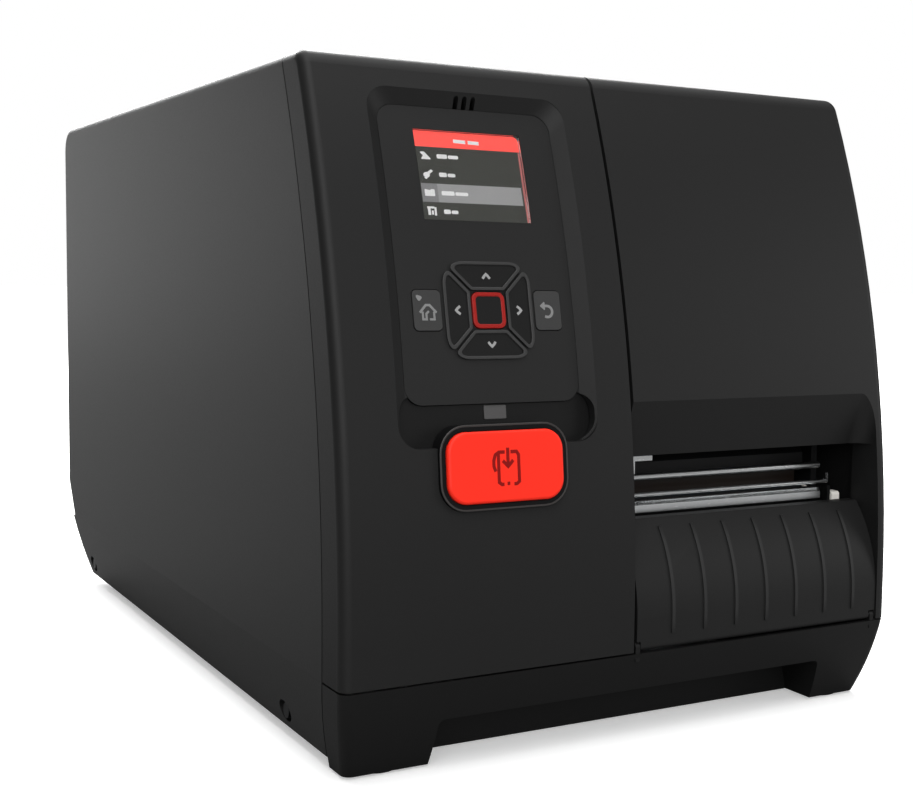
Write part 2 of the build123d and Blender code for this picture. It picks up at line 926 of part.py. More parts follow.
with BuildPart() as front_panel:
    add(skin.part)
    add(web(panel_edge - shell, panel_edge, 0, web_depth))
    add(
        slab(
            panel_x,
            well_width + 2 * shell,
            shell / 2,
            well_back,
            well_bottom - well_margin,
            well_top + well_margin,
        )
    )
    add(behind(-seam / 2, left - over, right), mode=Mode.SUBTRACT)
    add(
        span(left - over, panel_edge, -over, depth, base_height + seam / 2, height + over),
        mode=Mode.INTERSECT,
    )
    add(well.part, mode=Mode.SUBTRACT)
    add(well_foot.part, mode=Mode.SUBTRACT)
    add(plate_body(well_depth - over, well_depth + plate_t + plate_seat, 0), mode=Mode.SUBTRACT)
    with BuildSketch(screen_plane):
        Rectangle(screen_room[0], screen_room[1])
    extrude(amount=-2 * well_back, mode=Mode.SUBTRACT)
    with BuildSketch(pad_plane):
        Rectangle(mat_size[0], mat_size[1])
    extrude(amount=-2 * well_back, mode=Mode.SUBTRACT)
    with BuildSketch(button_plane):
        ring = (button_width + 2 * ring_wall, button_height + 2 * ring_wall)
        RectangleRounded(
            ring[0] + 2 * press_fit, ring[1] + 2 * press_fit, button_r + ring_wall + press_fit
        )
    extrude(amount=-2 * well_back, both=True, mode=Mode.SUBTRACT)
    with BuildSketch(light_plane):
        RectangleRounded(light_size[0], light_size[1], light_r)
    extrude(amount=-well_back, mode=Mode.SUBTRACT)
    with BuildSketch(fascia_plane(well_top - sound_drop)):
        with GridLocations(sound_pitch, sound_height, sound_count, 1):
            SlotOverall(sound_height, sound_slot, rotation=90)
    extrude(amount=-2 * well_back, both=True, mode=Mode.SUBTRACT)

save(front_panel, "front_panel")

# ---------------------------------------------------------------- media cover
def scoop_form(grow):
    # the hollow over the label exit, with its rounded right end
    high = (lean(scoop_top), scoop_top)
    low = (front + scoop_depth, scoop_bottom)
    run = sqrt((low[0] - high[0]) ** 2 + (high[1] - low[1]) ** 2)
    push = (grow * (high[1] - low[1]) / run, grow * (low[0] - high[0]) / run)
    high = (high[0] + push[0], high[1] + push[1])
    low = (low[0] + push[0], low[1] + push[1])
    tip = beyond(low, high, scoop_run)
    with BuildPart() as form:
        with BuildSketch(Plane.YZ.offset(left)):
            with BuildLine():
                Polyline(
                    (front - scoop_depth, tip[1]),
                    tip,
                    low,
                    (low[0] + 2 * shell, low[1]),
                    (low[0] + 2 * shell, 0),
                    (front - scoop_depth, 0),
                    close=True,
                )
            make_face()
        extrude(amount=width - cheek_width + grow)
        ends = form.edges().filter_by(
            lambda e: e.center().X > right - cheek_width + grow - over
            and abs(e.center().Z - (tip[1] + low[1]) / 2) < over
            and e.center().Y > front - scoop_depth + over
        )
        fillet(ends, radius=scoop_corner + grow)
    return form.part


with BuildPart() as scoop_layer:
    add(upper_block(0))
    add(scoop_form(shell), mode=Mode.INTERSECT)
    add(
        span(cover_edge, right, -over, depth, scoop_bottom, height),
        mode=Mode.INTERSECT,
    )

with BuildPart() as cheek:
    add(upper_block(0))
    add(
        span(right - cheek_width, right, -over, cheek_depth, base_height + seam / 2, scoop_top),
        mode=Mode.INTERSECT,
    )

with BuildPart() as media_cover:
    add(skin.part)
    add(web(cover_edge, cover_edge + web_t, 0, web_depth))
    add(
        span(cover_edge, right + over, -over, 2 * depth, base_height + seam / 2, height + over),
        mode=Mode.INTERSECT,
    )
    add(scoop_layer.part)
    add(cheek.part)
    add(scoop_form(0), mode=Mode.SUBTRACT)
    rear_face = depth - rear_inset - rear_sheet
    add(
        span(cover_edge - over, right - rim, depth - 2 * rim, depth + over, 0, height - rim),
        mode=Mode.SUBTRACT,
    )
    web_side = (cover_edge - over, cover_edge + 2 * web_t)
    add(span(*web_side, rear_face - seam, depth - shell, 0, height - shell), mode=Mode.SUBTRACT)
    add(span(*web_side, depth / 2, depth, 0, height - web_depth), mode=Mode.SUBTRACT)
    window_y = front + (window_front + depth - window_rear) / 2
    window_z = (base_height + window_low + height - window_high) / 2
    window_size = (
        depth - window_front - window_rear,
        height - window_high - base_height - window_low,
    )
    with BuildSketch(Plane.YZ.offset(right + over)):
        with Locations((window_y, window_z)):
            RectangleRounded(window_size[0], window_size[1], window_r)
    extrude(amount=-2 * shell, mode=Mode.SUBTRACT)
    with BuildSketch(Plane.YZ.offset(right - shell - over)):
        with Locations((window_y, window_z)):
            RectangleRounded(
                window_size[0] + 2 * window_lip, window_size[1] + 2 * window_lip, window_r + window_lip
            )
    extrude(amount=1 + window_t + press_fit, mode=Mode.SUBTRACT)
    with BuildSketch(Plane.YZ.offset(right + over)):
        with Locations((grip_y, base_height)):
            RectangleRounded(grip_length, 2 * grip_height, grip_height / 2)
    extrude(amount=-2 * shell - over, mode=Mode.SUBTRACT)
    knuckle = (hinge_length - hinge_core) / 2 - hinge_slack
    for y in hinge_ys:
        room = hinge_core + 2 * hinge_slack
        with BuildSketch(Plane.XZ.offset(-y + room / 2)):
            with Locations((split, height + hinge_lift)):
                Circle(hinge_r + hinge_slack)
        extrude(amount=-room, mode=Mode.SUBTRACT)
        for side in (-1, 1):
            middle = y - front + side * (hinge_core / 2 + hinge_slack + knuckle / 2)
            with BuildSketch(Plane.XZ.offset(-front - middle + knuckle / 2)):
                with Locations((split, height + hinge_lift)):
                    Circle(hinge_r)
            extrude(amount=-knuckle)
            add(
                span(
                    cover_edge,
                    cover_edge + leaf_width,
                    middle - knuckle / 2,
                    middle + knuckle / 2,
                    height - shell - leaf_t,
                    height - shell / 2,
                )
            )
        with BuildSketch(Plane.XZ.offset(-y + hinge_length)):
            with Locations((split, height + hinge_lift)):
                Circle(hinge_pin_r + run_fit)
        extrude(amount=-2 * hinge_length, mode=Mode.SUBTRACT)

with BuildPart() as media_window:
    with BuildSketch(Plane.YZ.offset(right - shell)):
        with Locations((window_y, window_z)):
            RectangleRounded(
                window_size[0] + 2 * (window_lip - window_play),
                window_size[1] + 2 * (window_lip - window_play),
                window_r + window_lip - window_play,
            )
    extrude(amount=window_t)

save(media_cover, "media_cover")
save(media_window, "media_window")

# ---------------------------------------------------------------- front door
def door_face(z, inset):
    # depth of the door's face, or of the surface behind it, below the front plane
    rise = max(z - door_flat_top, 0.0)
    return rib_proud + fascia_door_r - sqrt((fascia_door_r - inset) ** 2 - rise**2)


def door_band(x0, x1, near, far, low, high):
    # a band of the door's wall between two depths and two heights
    mid = (door_flat_top + high) / 2
    with BuildPart() as band:
        with BuildSketch(Plane.YZ.offset(x0)):
            with BuildLine():
                Line(
                    (front + door_face(low, near), low),
                    (front + door_face(low, near), door_flat_top),
                )
                ThreePointArc(
                    (front + door_face(low, near), door_flat_top),
                    (front + door_face(mid, near), mid),
                    (front + door_face(high, near), high),
                )
                Line(
                    (front + door_face(high, near), high), (front + door_face(high, far), high)
                )
                ThreePointArc(
                    (front + door_face(high, far), high),
                    (front + door_face(mid, far), mid),
                    (front + door_face(low, far), door_flat_top),
                )
                Polyline(
                    (front + door_face(low, far), door_flat_top),
                    (front + door_face(low, far), low),
                    (front + door_face(low, near), low),
                )
            make_face()
        extrude(amount=x1 - x0)
    return band.part


door_left = cover_edge + door_gap
door_right = right - cheek_width - door_gap

with BuildPart() as front_door:
    add(door_band(door_left, door_right, 0, door_t, door_axis_z, door_top))
    add(
        span(
            door_left,
            door_right,
            door_face(door_top, 0) + door_lip_set,
            door_face(door_top, 0) + door_lip,
            door_top - door_lip_t,
            door_top,
        )
    )
    add(shaft(door_left, door_right, door_r, door_axis_z, door_roll_r))
    for x in (door_ends[0], door_ends[1] - door_ear):
        add(
            span(
                x - over,
                x + door_ear + side_play,
                -over,
                2 * door_r + over,
                0,
                door_axis_z + door_roll_r + side_play,
            ),
            mode=Mode.SUBTRACT,
        )
    for i in range(rib_count):
        x = rib_first + i * rib_pitch
        add(door_band(x - rib_width / 2, x + rib_width / 2, -rib_proud, 1, rib_low, rib_high))
    add(
        shaft(left, right, door_r, door_axis_z, door_pin_r + run_fit),
        mode=Mode.SUBTRACT,
    )

with BuildPart() as door_pins:
    add(shaft(door_ends[0], door_ends[0] + door_pin_length, door_r, door_axis_z, door_pin_r))
    add(shaft(door_ends[1] - door_pin_length, door_ends[1], door_r, door_axis_z, door_pin_r))

save(front_door, "front_door")

# ---------------------------------------------------------------- control panel


def wedge(turn, grow=0.0):
    # outline of a direction key: its sides run at 45 degrees, its back follows the pad's corners
    with BuildSketch() as outline:
        with BuildLine():
            Polyline(
                (-key_half_in, key_inner),
                (key_half_in, key_inner),
                (key_half_in + key_reach, key_inner + key_reach),
                (-key_half_in - key_reach, key_inner + key_reach),
                close=True,
            )
        make_face()
        RectangleRounded(2 * key_reach, 2 * key_reach, pad_r, mode=Mode.INTERSECT)
        sharp = outline.vertices().group_by(Axis.Y)
        fillet(sharp[0] + sharp[1], radius=key_r)
        if grow:
            offset(amount=grow)
    return outline.sketch.rotate(Axis.Z, turn)


with BuildPart() as control_plate:
    add(plate_body(well_depth, well_depth + plate_t, plate_play))
    with BuildSketch(screen_plane):
        Rectangle(screen_width, screen_height)
    extrude(amount=plate_reach, both=True, mode=Mode.SUBTRACT)
    with BuildSketch(pad_plane):
        for turn in (0, 90, 180, 270):
            add(wedge(turn, key_gap))
        RectangleRounded(select_width + 2 * key_gap, select_width + 2 * key_gap, select_r + key_gap)
        with Locations((-side_key_x, 0), (side_key_x, 0)):
            RectangleRounded(
                side_key_width + 2 * key_gap, side_key_height + 2 * key_gap, side_key_r + key_gap
            )
    extrude(amount=plate_reach, both=True, mode=Mode.SUBTRACT)

with BuildPart() as display_window:
    glass_depth = well_depth + window_play
    add(slab(panel_x, well_width, glass_depth, glass_depth + glass_t, plate_bottom, plate_top))
    with BuildSketch(screen_plane):
        Rectangle(screen_width - 2 * plate_play, screen_height - 2 * plate_play)
    extrude(amount=plate_reach, both=True, mode=Mode.INTERSECT)

with BuildPart() as display_module:
    with BuildSketch(screen_plane.offset(-module_depth)):
        Rectangle(screen_width - 2 * module_play, screen_height - 2 * module_play)
    extrude(amount=module_depth - board_depth)
    with BuildSketch(screen_plane.offset(-board_depth)):
        Rectangle(screen_room[0] + 2 * board_margin, screen_room[1] + 2 * board_margin)
    extrude(amount=-board_t)

with BuildPart() as keypad_mat:
    with BuildSketch(pad_plane.offset(-mat_depth)):
        Rectangle(mat_size[0] - 2 * module_play, mat_size[1] - 2 * module_play)
    extrude(amount=mat_depth - board_depth)

with BuildPart() as keypad_board:
    with BuildSketch(pad_plane.offset(-board_depth)):
        Rectangle(mat_size[0] + 2 * board_margin, mat_size[1] + 2 * board_margin)
    extrude(amount=-board_t)

with BuildPart() as key_up:
    with BuildSketch(pad_plane.offset(key_proud)):
        add(wedge(0))
    extrude(amount=-key_t)

with BuildPart() as key_left:
    with BuildSketch(pad_plane.offset(key_proud)):
        add(wedge(90))
    extrude(amount=-key_t)

with BuildPart() as key_down:
    with BuildSketch(pad_plane.offset(key_proud)):
        add(wedge(180))
    extrude(amount=-key_t)

with BuildPart() as key_right:
    with BuildSketch(pad_plane.offset(key_proud)):
        add(wedge(270))
    extrude(amount=-key_t)

with BuildPart() as key_select:
    with BuildSketch(pad_plane.offset(key_proud)):
        RectangleRounded(select_width, select_width, select_r)
    extrude(amount=-key_t)

with BuildPart() as key_home:
    with BuildSketch(pad_plane.offset(key_proud)):
        with Locations((-side_key_x, 0)):
            RectangleRounded(side_key_width, side_key_height, side_key_r)
    extrude(amount=-key_t)

with BuildPart() as key_back:
    with BuildSketch(pad_plane.offset(key_proud)):
        with Locations((side_key_x, 0)):
            RectangleRounded(side_key_width, side_key_height, side_key_r)
    extrude(amount=-key_t)

with BuildPart() as status_light:
    with BuildSketch(light_plane.offset(light_proud)):
        RectangleRounded(
            light_size[0] - 2 * light_play, light_size[1] - 2 * light_play, light_r - light_play
        )
    extrude(amount=-light_length)

with BuildPart() as button_ring:
    with BuildSketch(button_plane.offset(ring_proud)):
        RectangleRounded(ring[0], ring[1], button_r + ring_wall)
    extrude(amount=-ring_proud - ring_depth)
    with BuildSketch(button_plane.offset(ring_proud)):
        RectangleRounded(
            button_width + 2 * button_gap, button_height + 2 * button_gap, button_r + button_gap
        )
    extrude(amount=-ring_proud - ring_depth + ring_floor, mode=Mode.SUBTRACT)

with BuildPart() as print_button:
    with BuildSketch(button_plane.offset(button_proud)):
        RectangleRounded(button_width, button_height, button_r)
    extrude(amount=-button_proud - button_skirt)
    rim_edges = print_button.faces().sort_by(Axis.Y)[0].edges()
    fillet(rim_edges, radius=button_edge_r)
    with BuildSketch(button_plane.offset(-button_skirt)):
        RectangleRounded(
            button_width - 2 * button_wall, button_height - 2 * button_wall, button_r - button_wall
        )
    extrude(amount=button_skirt + button_proud - button_wall, mode=Mode.SUBTRACT)

with BuildPart() as print_switch:
    seat = ring_depth - ring_floor
    with BuildSketch(button_plane.offset(-seat)):
        Rectangle(switch_size, switch_size)
    extrude(amount=switch_height)
    with BuildSketch(button_plane.offset(-seat)):
        Circle(plunger_r)
    extrude(amount=seat - plunger_tip)

save(control_plate, "control_plate")
save(display_window, "display_window")
save(display_module, "display_module")
save(keypad_mat, "keypad_mat")
save(keypad_board, "keypad_board")
save(key_up, "key_up")
save(key_left, "key_left")
save(key_down, "key_down")
save(key_right, "key_right")
save(key_select, "key_select")
save(key_home, "key_home")
save(key_back, "key_back")
save(status_light, "status_light")
save(button_ring, "button_ring")
save(print_button, "print_button")
save(print_switch, "print_switch")

# ---------------------------------------------------------------- rear panel
rear_top = height - rear_crown
board_face = board_x - board_t
ports = (
    (network_size, network_mouth, network_z, network_depth),
    (usb_size, usb_mouth, usb_z, usb_depth),
    (serial_size, serial_shell, serial_z, serial_depth),
)


def rear_sheet_at(inset, z):
    # depth of the rear panel's face at this height
    return toe(z, inset) - front


with BuildPart() as rear_panel:
    outer, inner = rear_inset, rear_inset + rear_sheet
    add(
        side_view(
            [
                (rear_sheet_at(outer, rear_top), rear_top),
                (rear_sheet_at(outer, rear_top), toe_break(outer)),
                (rear_sheet_at(outer, tray_floor), tray_floor),
                (rear_sheet_at(inner, tray_floor), tray_floor),
                (rear_sheet_at(inner, rear_top), toe_break(inner)),
                (rear_sheet_at(inner, rear_top), rear_top),
            ],
            left + shell + wall_play,
            right - shell - wall_play,
        )
    )
    add(
        span(left, left + cover_return + base_wall + over, 0, depth, -over, base_height),
        mode=Mode.SUBTRACT,
    )
    add(
        span(right - base_wall - skirt_right - over, right, 0, depth, -over, base_height),
        mode=Mode.SUBTRACT,
    )
    with BuildSketch(Plane.XZ.offset(-rear - over)):
        with Locations((inlet_x, inlet_z)):
            RectangleRounded(
                inlet_size[0] + 2 * port_play, inlet_size[1] + 2 * port_play, inlet_r + port_play
            )
        with Locations((inlet_x, switch_z)):
            Rectangle(switch_body[1] + 2 * port_play, switch_body[0] + 2 * port_play)
        for size, mouth_size, z, length in ports:
            with Locations((board_face - size[0] / 2, z)):
                Rectangle(size[0] + 2 * port_play, size[1] + 2 * port_play)
        with Locations((split + fanfold_left + fanfold_width / 2, fanfold_z)):
            RectangleRounded(fanfold_width, fanfold_height, fanfold_r)
        with Locations((vent_x, vent_z)):
            with GridLocations(vent_pitch[0], vent_pitch[1], vent_count[0], vent_count[1]):
                SlotOverall(vent_size[0], vent_size[1])
    extrude(amount=rear_inset + 2 * rear_sheet + 2, mode=Mode.SUBTRACT)

with BuildPart() as power_inlet:
    outside = depth - rear_inset
    mouth = outside + inlet_flange_t
    with BuildSketch(Plane.XZ.offset(-front - outside)):
        with Locations((inlet_x, inlet_z)):
            RectangleRounded(inlet_flange[0], inlet_flange[1], inlet_r)
    extrude(amount=-inlet_flange_t)
    with BuildSketch(Plane.XZ.offset(-front - mouth)):
        with Locations((inlet_x, inlet_z)):
            RectangleRounded(inlet_size[0], inlet_size[1], inlet_r)
    extrude(amount=inlet_length)
    with BuildSketch(Plane.XZ.offset(-front - mouth)) as socket_shape:
        with Locations((inlet_x, inlet_z)):
            Rectangle(inlet_socket[0], inlet_socket[1])
        chamfer(socket_shape.vertices().group_by(Axis.Y)[-1], length=inlet_r)
    extrude(amount=inlet_socket_depth, mode=Mode.SUBTRACT)

with BuildPart() as inlet_pins:
    for side, rise in ((-1, -blade_rise), (0, blade_rise), (1, -blade_rise)):
        x = inlet_x + side * blade_pitch
        z = inlet_z + rise
        add(
            span(
                x - blade[0] / 2,
                x + blade[0] / 2,
                mouth - inlet_socket_depth,
                mouth - inlet_socket_depth + blade[2],
                z - blade[1] / 2,
                z + blade[1] / 2,
            )
        )

rocker_y = outside - rocker_front

with BuildPart() as power_switch:
    with BuildSketch(Plane.XZ.offset(-front - outside)):
        with Locations((inlet_x, switch_z)):
            Rectangle(switch_flange[1], switch_flange[0])
    extrude(amount=-switch_wall)
    with BuildSketch(Plane.XZ.offset(-front - outside)):
        with Locations((inlet_x, switch_z)):
            Rectangle(switch_body[1], switch_body[0])
    extrude(amount=switch_depth)
    with BuildSketch(Plane.XZ.offset(-front - outside - switch_wall)):
        with Locations((inlet_x, switch_z)):
            Rectangle(rocker_size[1] + 2 * port_play, rocker_size[0] + rocker_room)
    extrude(amount=switch_depth, mode=Mode.SUBTRACT)
    add(
        shaft(
            inlet_x - switch_body[1] / 2 + rocker_seat,
            inlet_x + switch_body[1] / 2 - rocker_seat,
            rocker_y,
            switch_z,
            rocker_pin_r + run_fit,
        ),
        mode=Mode.SUBTRACT,
    )

with BuildPart() as power_rocker:
    swing = radians(rocker_swing)
    rocker_points = [
        (y * cos(swing) - z * sin(swing), y * sin(swing) + z * cos(swing))
        for y, z in (
            (-rocker_back, -rocker_size[0] / 4),
            (rocker_front + switch_wall, -rocker_size[0] / 2),
            (rocker_front, 0),
            (rocker_front + switch_wall, rocker_size[0] / 2),
            (-rocker_back, rocker_size[0] / 4),
        )
    ]
    add(
        side_view(
            [(rocker_y + y, switch_z + z) for y, z in rocker_points],
            inlet_x - rocker_size[1] / 2,
            inlet_x + rocker_size[1] / 2,
        )
    )
    add(
        shaft(
            inlet_x - switch_body[1] / 2 + rocker_hold,
            inlet_x + switch_body[1] / 2 - rocker_hold,
            rocker_y,
            switch_z,
            rocker_pin_r,
        )
    )

with BuildPart() as rear_ports:
    port_end = outside + port_proud
    for size, mouth_size, z, length in ports:
        with BuildSketch(Plane.XZ.offset(-front - port_end)):
            with Locations((board_face - size[0] / 2, z)):
                Rectangle(size[0], size[1])
        extrude(amount=length)
        with BuildSketch(Plane.XZ.offset(-front - port_end)):
            with Locations((board_face - size[0] / 2, z)):
                Rectangle(mouth_size[0], mouth_size[1])
        extrude(amount=length - 2 * port_wall, mode=Mode.SUBTRACT)
    with BuildSketch(Plane.XZ.offset(-front - port_end)):
        with Locations((board_face - usb_size[0] / 2, usb_z)):
            Rectangle(*usb_tongue)
    extrude(amount=usb_depth)

save(rear_panel, "rear_panel")
save(power_inlet, "power_inlet")
save(inlet_pins, "inlet_pins")
save(power_switch, "power_switch")
save(power_rocker, "power_rocker")
save(rear_ports, "rear_ports")

# ---------------------------------------------------------------- centre wall
motor_y = platen_y + sqrt(((platen_teeth + pinion_teeth) * gear_module / 2) ** 2 - mesh_rise**2)
motor_z = platen_z - mesh_rise
axle_bore = spindle_shaft_r + run_fit

with BuildPart() as centre_wall:
    with BuildSketch(Plane.YZ.offset(wall_left)):
        add(upper_outline(rear_inset + rear_sheet + wall_play, front_inset=shell))
        with BuildLine():
            Polyline(
                (front + leg_depth, tray_floor),
                (toe(tray_floor, rear_inset + rear_sheet + wall_play), tray_floor),
                (toe(base_height, rear_inset + rear_sheet + wall_play), base_height),
                (front + strip, base_height),
                (front + strip, recess_height + base_wall),
                (front + leg_depth, recess_height + base_wall),
                close=True,
            )
        make_face()
    extrude(amount=wall_right - wall_left)
    add(behind(0, wall_left, wall_right), mode=Mode.INTERSECT)
    with BuildSketch(Plane.YZ.offset(wall_left)):
        with Locations((front + wall_window_y, wall_window_z)):
            RectangleRounded(wall_window[0], wall_window[1], well_corner)
    extrude(amount=wall_right - wall_left, mode=Mode.SUBTRACT)
    add(
        span(
            motor_face,
            motor_face + mount_t,
            motor_y - motor_square / 2,
            motor_y + motor_square / 2,
            motor_z - motor_square / 2,
            motor_z + motor_square / 2,
        )
    )
    for dy, dz in mount_spots:
        add(shaft(motor_face + mount_t / 2, wall_left + over, motor_y + dy, motor_z + dz, plate_post_r))
    add(
        shaft(motor_face - over, motor_face + 2 * mount_t, motor_y, motor_z, motor_boss_r + press_fit),
        mode=Mode.SUBTRACT,
    )
    for y, z, r in (
        (platen_y, platen_z, bearing_r + press_fit),
        (head_pivot_y, head_pivot_z, pivot_rod_r + press_fit),
        (guide_y, guide_z, guide_axle_r + press_fit),
        (lever_y, lever_z, lever_shaft_r + run_fit),
        (supply_y, supply_z, axle_bore),
        (takeup_y, takeup_z, axle_bore),
        (rod_y, rod_z, rod_r + press_fit),
        (wire_y, wire_z, wire_r + press_fit),
    ):
        add(shaft(wall_left - over, wall_right + over, y, z, r), mode=Mode.SUBTRACT)

with BuildPart() as hinge_brackets:
    for y in hinge_ys:
        middle = y - front
        with BuildSketch(Plane.XZ.offset(-y + hinge_core / 2)):
            with Locations((split, height + hinge_lift)):
                Circle(hinge_r)
        extrude(amount=-hinge_core)
        add(
            span(
                wall_right,
                wall_right + bracket_t,
                middle - hinge_core / 2,
                middle + hinge_core / 2,
                height - bracket_drop,
                height + hinge_lift,
            )
        )
        with BuildSketch(Plane.XZ.offset(-y + hinge_length)):
            with Locations((split, height + hinge_lift)):
                Circle(hinge_pin_r + press_fit)
        extrude(amount=-2 * hinge_length, mode=Mode.SUBTRACT)

with BuildPart() as hinge_pins:
    for y in hinge_ys:
        with BuildSketch(Plane.XZ.offset(-y + hinge_length / 2)):
            with Locations((split, height + hinge_lift)):
                Circle(hinge_pin_r)
        extrude(amount=-hinge_length)
    add(door_pins.part)

save(centre_wall, "centre_wall")
save(hinge_brackets, "hinge_brackets")
save(hinge_pins, "hinge_pins")

# ---------------------------------------------------------------- frame plate and cross channel
frame_right = frame_x + frame_t

with BuildPart() as print_frame:
    add(
        side_view(
            [
                (frame_foot_front, tray_floor),
                (frame_rear - frame_cut, tray_floor),
                (frame_rear, tray_floor + frame_cut),
                (frame_rear, frame_top - 2 * frame_cut),
                (frame_rear - 2 * frame_cut, frame_top),
                (frame_front + frame_cut, frame_top),
                (frame_front, frame_top - frame_cut),
                (frame_front, channel_low - frame_cut),
                (frame_foot_front, channel_low - 2 * frame_cut),
            ],
            frame_x,
            frame_right,
        )
    )
    add(
        span(
            frame_right - over, frame_right + tab_reach, tab_front, tab_rear, tab_low, tab_low + tab_t
        )
    )
    add(
        span(
            leaf_x,
            leaf_x + leaf_size[0],
            leaf_y,
            leaf_y + leaf_size[1],
            tab_low + tab_t - over,
            tab_low + tab_t + leaf_size[2],
        )
    )
    add(
        side_view(
            [
                (channel_front, bar_low),
                (channel_front, channel_low),
                (channel_rear, channel_low),
                (channel_rear, channel_high),
                (channel_rear - channel_wall, channel_high),
                (channel_rear - channel_wall, channel_low + channel_wall),
                (channel_front + channel_wall, channel_low + channel_wall),
                (channel_front + channel_wall, bar_low),
            ],
            wall_right,
            frame_x + channel_weld,
        )
    )
    for y, z, r in (
        (platen_y, platen_z, bearing_r + press_fit),
        (head_pivot_y, head_pivot_z, pivot_rod_r + press_fit),
        (guide_y, guide_z, guide_axle_r + press_fit),
        (lever_y, lever_z, lever_shaft_r + run_fit),
    ):
        add(shaft(frame_x - over, frame_right + over, y, z, r), mode=Mode.SUBTRACT)
    for y, z in frame_screw_spots:
        add(
            shaft(frame_x - over, frame_right + over, y, base_height + z, frame_screw_shank + press_fit),
            mode=Mode.SUBTRACT,
        )

with BuildPart() as tear_bar:
    add(
        side_view(
            [
                (bar_front + bar_bevel / 2, bar_low),
                (bar_rear, bar_low),
                (bar_rear, bar_low + bar_height),
                (bar_front + bar_bevel, bar_low + bar_height),
                (bar_front, bar_low + bar_height - bar_bevel),
                (bar_front, bar_low + bar_bevel / 2),
            ],
            bar_left,
            bar_right,
        )
    )

with BuildPart() as latch_block:
    tab_right = frame_right + tab_reach
    add(
        span(
            tab_right - block_size[0],
            tab_right,
            tab_front,
            tab_front + block_size[1],
            tab_low + tab_t,
            tab_low + tab_t + block_size[2],
        )
    )
    fillet(latch_block.edges().filter_by(Axis.X).group_by(Axis.Z)[-1], radius=bar_bevel)

with BuildPart() as steel_rods:
    add(shaft(wall_left, frame_right, head_pivot_y, head_pivot_z, pivot_rod_r))
    add(shaft(wall_left, frame_right, guide_y, guide_z, guide_axle_r))
    add(shaft(wall_left, rod_right, rod_y, rod_z, rod_r))
    add(shaft(wall_left, wire_right, wire_y, wire_z, wire_r))
    add(
        span(
            wire_right - wire_r,
            wire_right + wire_r / 2,
            wire_y - wire_r / 2,
            wire_y + wire_r / 2,
            wire_z - wire_r / 2,
            wire_z + wire_hook,
        )
    )
    add(span(wall_right, wall_right + tie_length, tie_front, tie_rear, tie_low, tie_low + tie_t))
    add(
        span(
            post_x - post_size[0] / 2,
            post_x + post_size[0] / 2,
            post_y - post_size[1] / 2,
            post_y + post_size[1] / 2,
            tie_low - post_size[2],
            tie_low + tie_t / 2,
        )
    )

save(print_frame, "print_frame")
save(tear_bar, "tear_bar")
save(latch_block, "latch_block")
save(steel_rods, "steel_rods")


# ---------------------------------------------------------------- platen and its drive
def toothed(teeth, turn, x0, x1, y, z):
    # a spur gear with its axis along X
    pitch_r = teeth * gear_module / 2
    step = 2 * 180 / teeth
    points = []
    for i in range(teeth):
        middle = turn + i * step
        for r, share in (
            (pitch_r - tooth_root * gear_module, -tooth_root_share),
            (pitch_r, -tooth_share),
            (pitch_r + tooth_tip * gear_module, -tooth_tip_share),
            (pitch_r + tooth_tip * gear_module, tooth_tip_share),
            (pitch_r, tooth_share),
            (pitch_r - tooth_root * gear_module, tooth_root_share),
        ):
            a = radians(middle + share * step / 2)
            points.append((y + r * cos(a), z + r * sin(a)))
    return side_view(points, x0, x1)


line_of_centres = degrees(atan2(motor_z - platen_z, motor_y - platen_y))

with BuildPart() as platen_roller:
    add(shaft(platen_left, platen_right, platen_y, platen_z, platen_r))
    add(
        shaft(platen_left, platen_right, platen_y, platen_z, platen_shaft_r), mode=Mode.SUBTRACT
    )

with BuildPart() as platen_shaft:
    add(shaft(gear_left, frame_right + side_play, platen_y, platen_z, platen_shaft_r))
    add(
        span(
            gear_left - over,
            gear_left + gear_width + side_play,
            platen_y + platen_shaft_r - shaft_flat,
            platen_y + platen_shaft_r + over,
            platen_z - platen_shaft_r,
            platen_z + platen_shaft_r,
        ),
        mode=Mode.SUBTRACT,
    )

with BuildPart() as platen_gear:
    add(toothed(platen_teeth, line_of_centres, gear_left, gear_left + gear_width, platen_y, platen_z))
    add(platen_shaft.part, mode=Mode.SUBTRACT)

with BuildPart() as motor_pinion:
    offset_angle = line_of_centres + 180 + 180 / pinion_teeth
    add(
        toothed(
            pinion_teeth, offset_angle, gear_left - side_play, gear_left + gear_width, motor_y, motor_z
        )
    )
    add(shaft(motor_face - pinion_shaft, gear_left + over, motor_y, motor_z, pinion_shaft_r))

with BuildPart() as platen_bearings:
    for x0, x1, flange_x in (
        (wall_left, wall_right + bearing_flange, wall_right),
        (frame_x - bearing_flange, frame_right, frame_x - bearing_flange),
    ):
        add(shaft(x0, x1, platen_y, platen_z, bearing_r))
        add(shaft(flange_x, flange_x + bearing_flange, platen_y, platen_z, bearing_flange_r))
    add(
        shaft(left, right, platen_y, platen_z, platen_shaft_r + run_fit),
        mode=Mode.SUBTRACT,
    )

with BuildPart() as drive_motor:
    with BuildSketch(Plane.YZ.offset(motor_face)) as motor_shape:
        with Locations((front + motor_y, motor_z)):
            Rectangle(motor_square, motor_square)
        chamfer(motor_shape.vertices(), length=motor_corner)
    extrude(amount=-motor_length)
    add(shaft(motor_face - over, motor_face + motor_boss_t, motor_y, motor_z, motor_boss_r))
    add(
        shaft(
            motor_face - pinion_shaft - side_play,
            motor_face + 2 * motor_boss_t,
            motor_y,
            motor_z,
            pinion_shaft_r + run_fit,
        ),
        mode=Mode.SUBTRACT,
    )

save(platen_roller, "platen_roller")
save(platen_shaft, "platen_shaft")
save(platen_gear, "platen_gear")
save(motor_pinion, "motor_pinion")
save(platen_bearings, "platen_bearings")
save(drive_motor, "drive_motor")

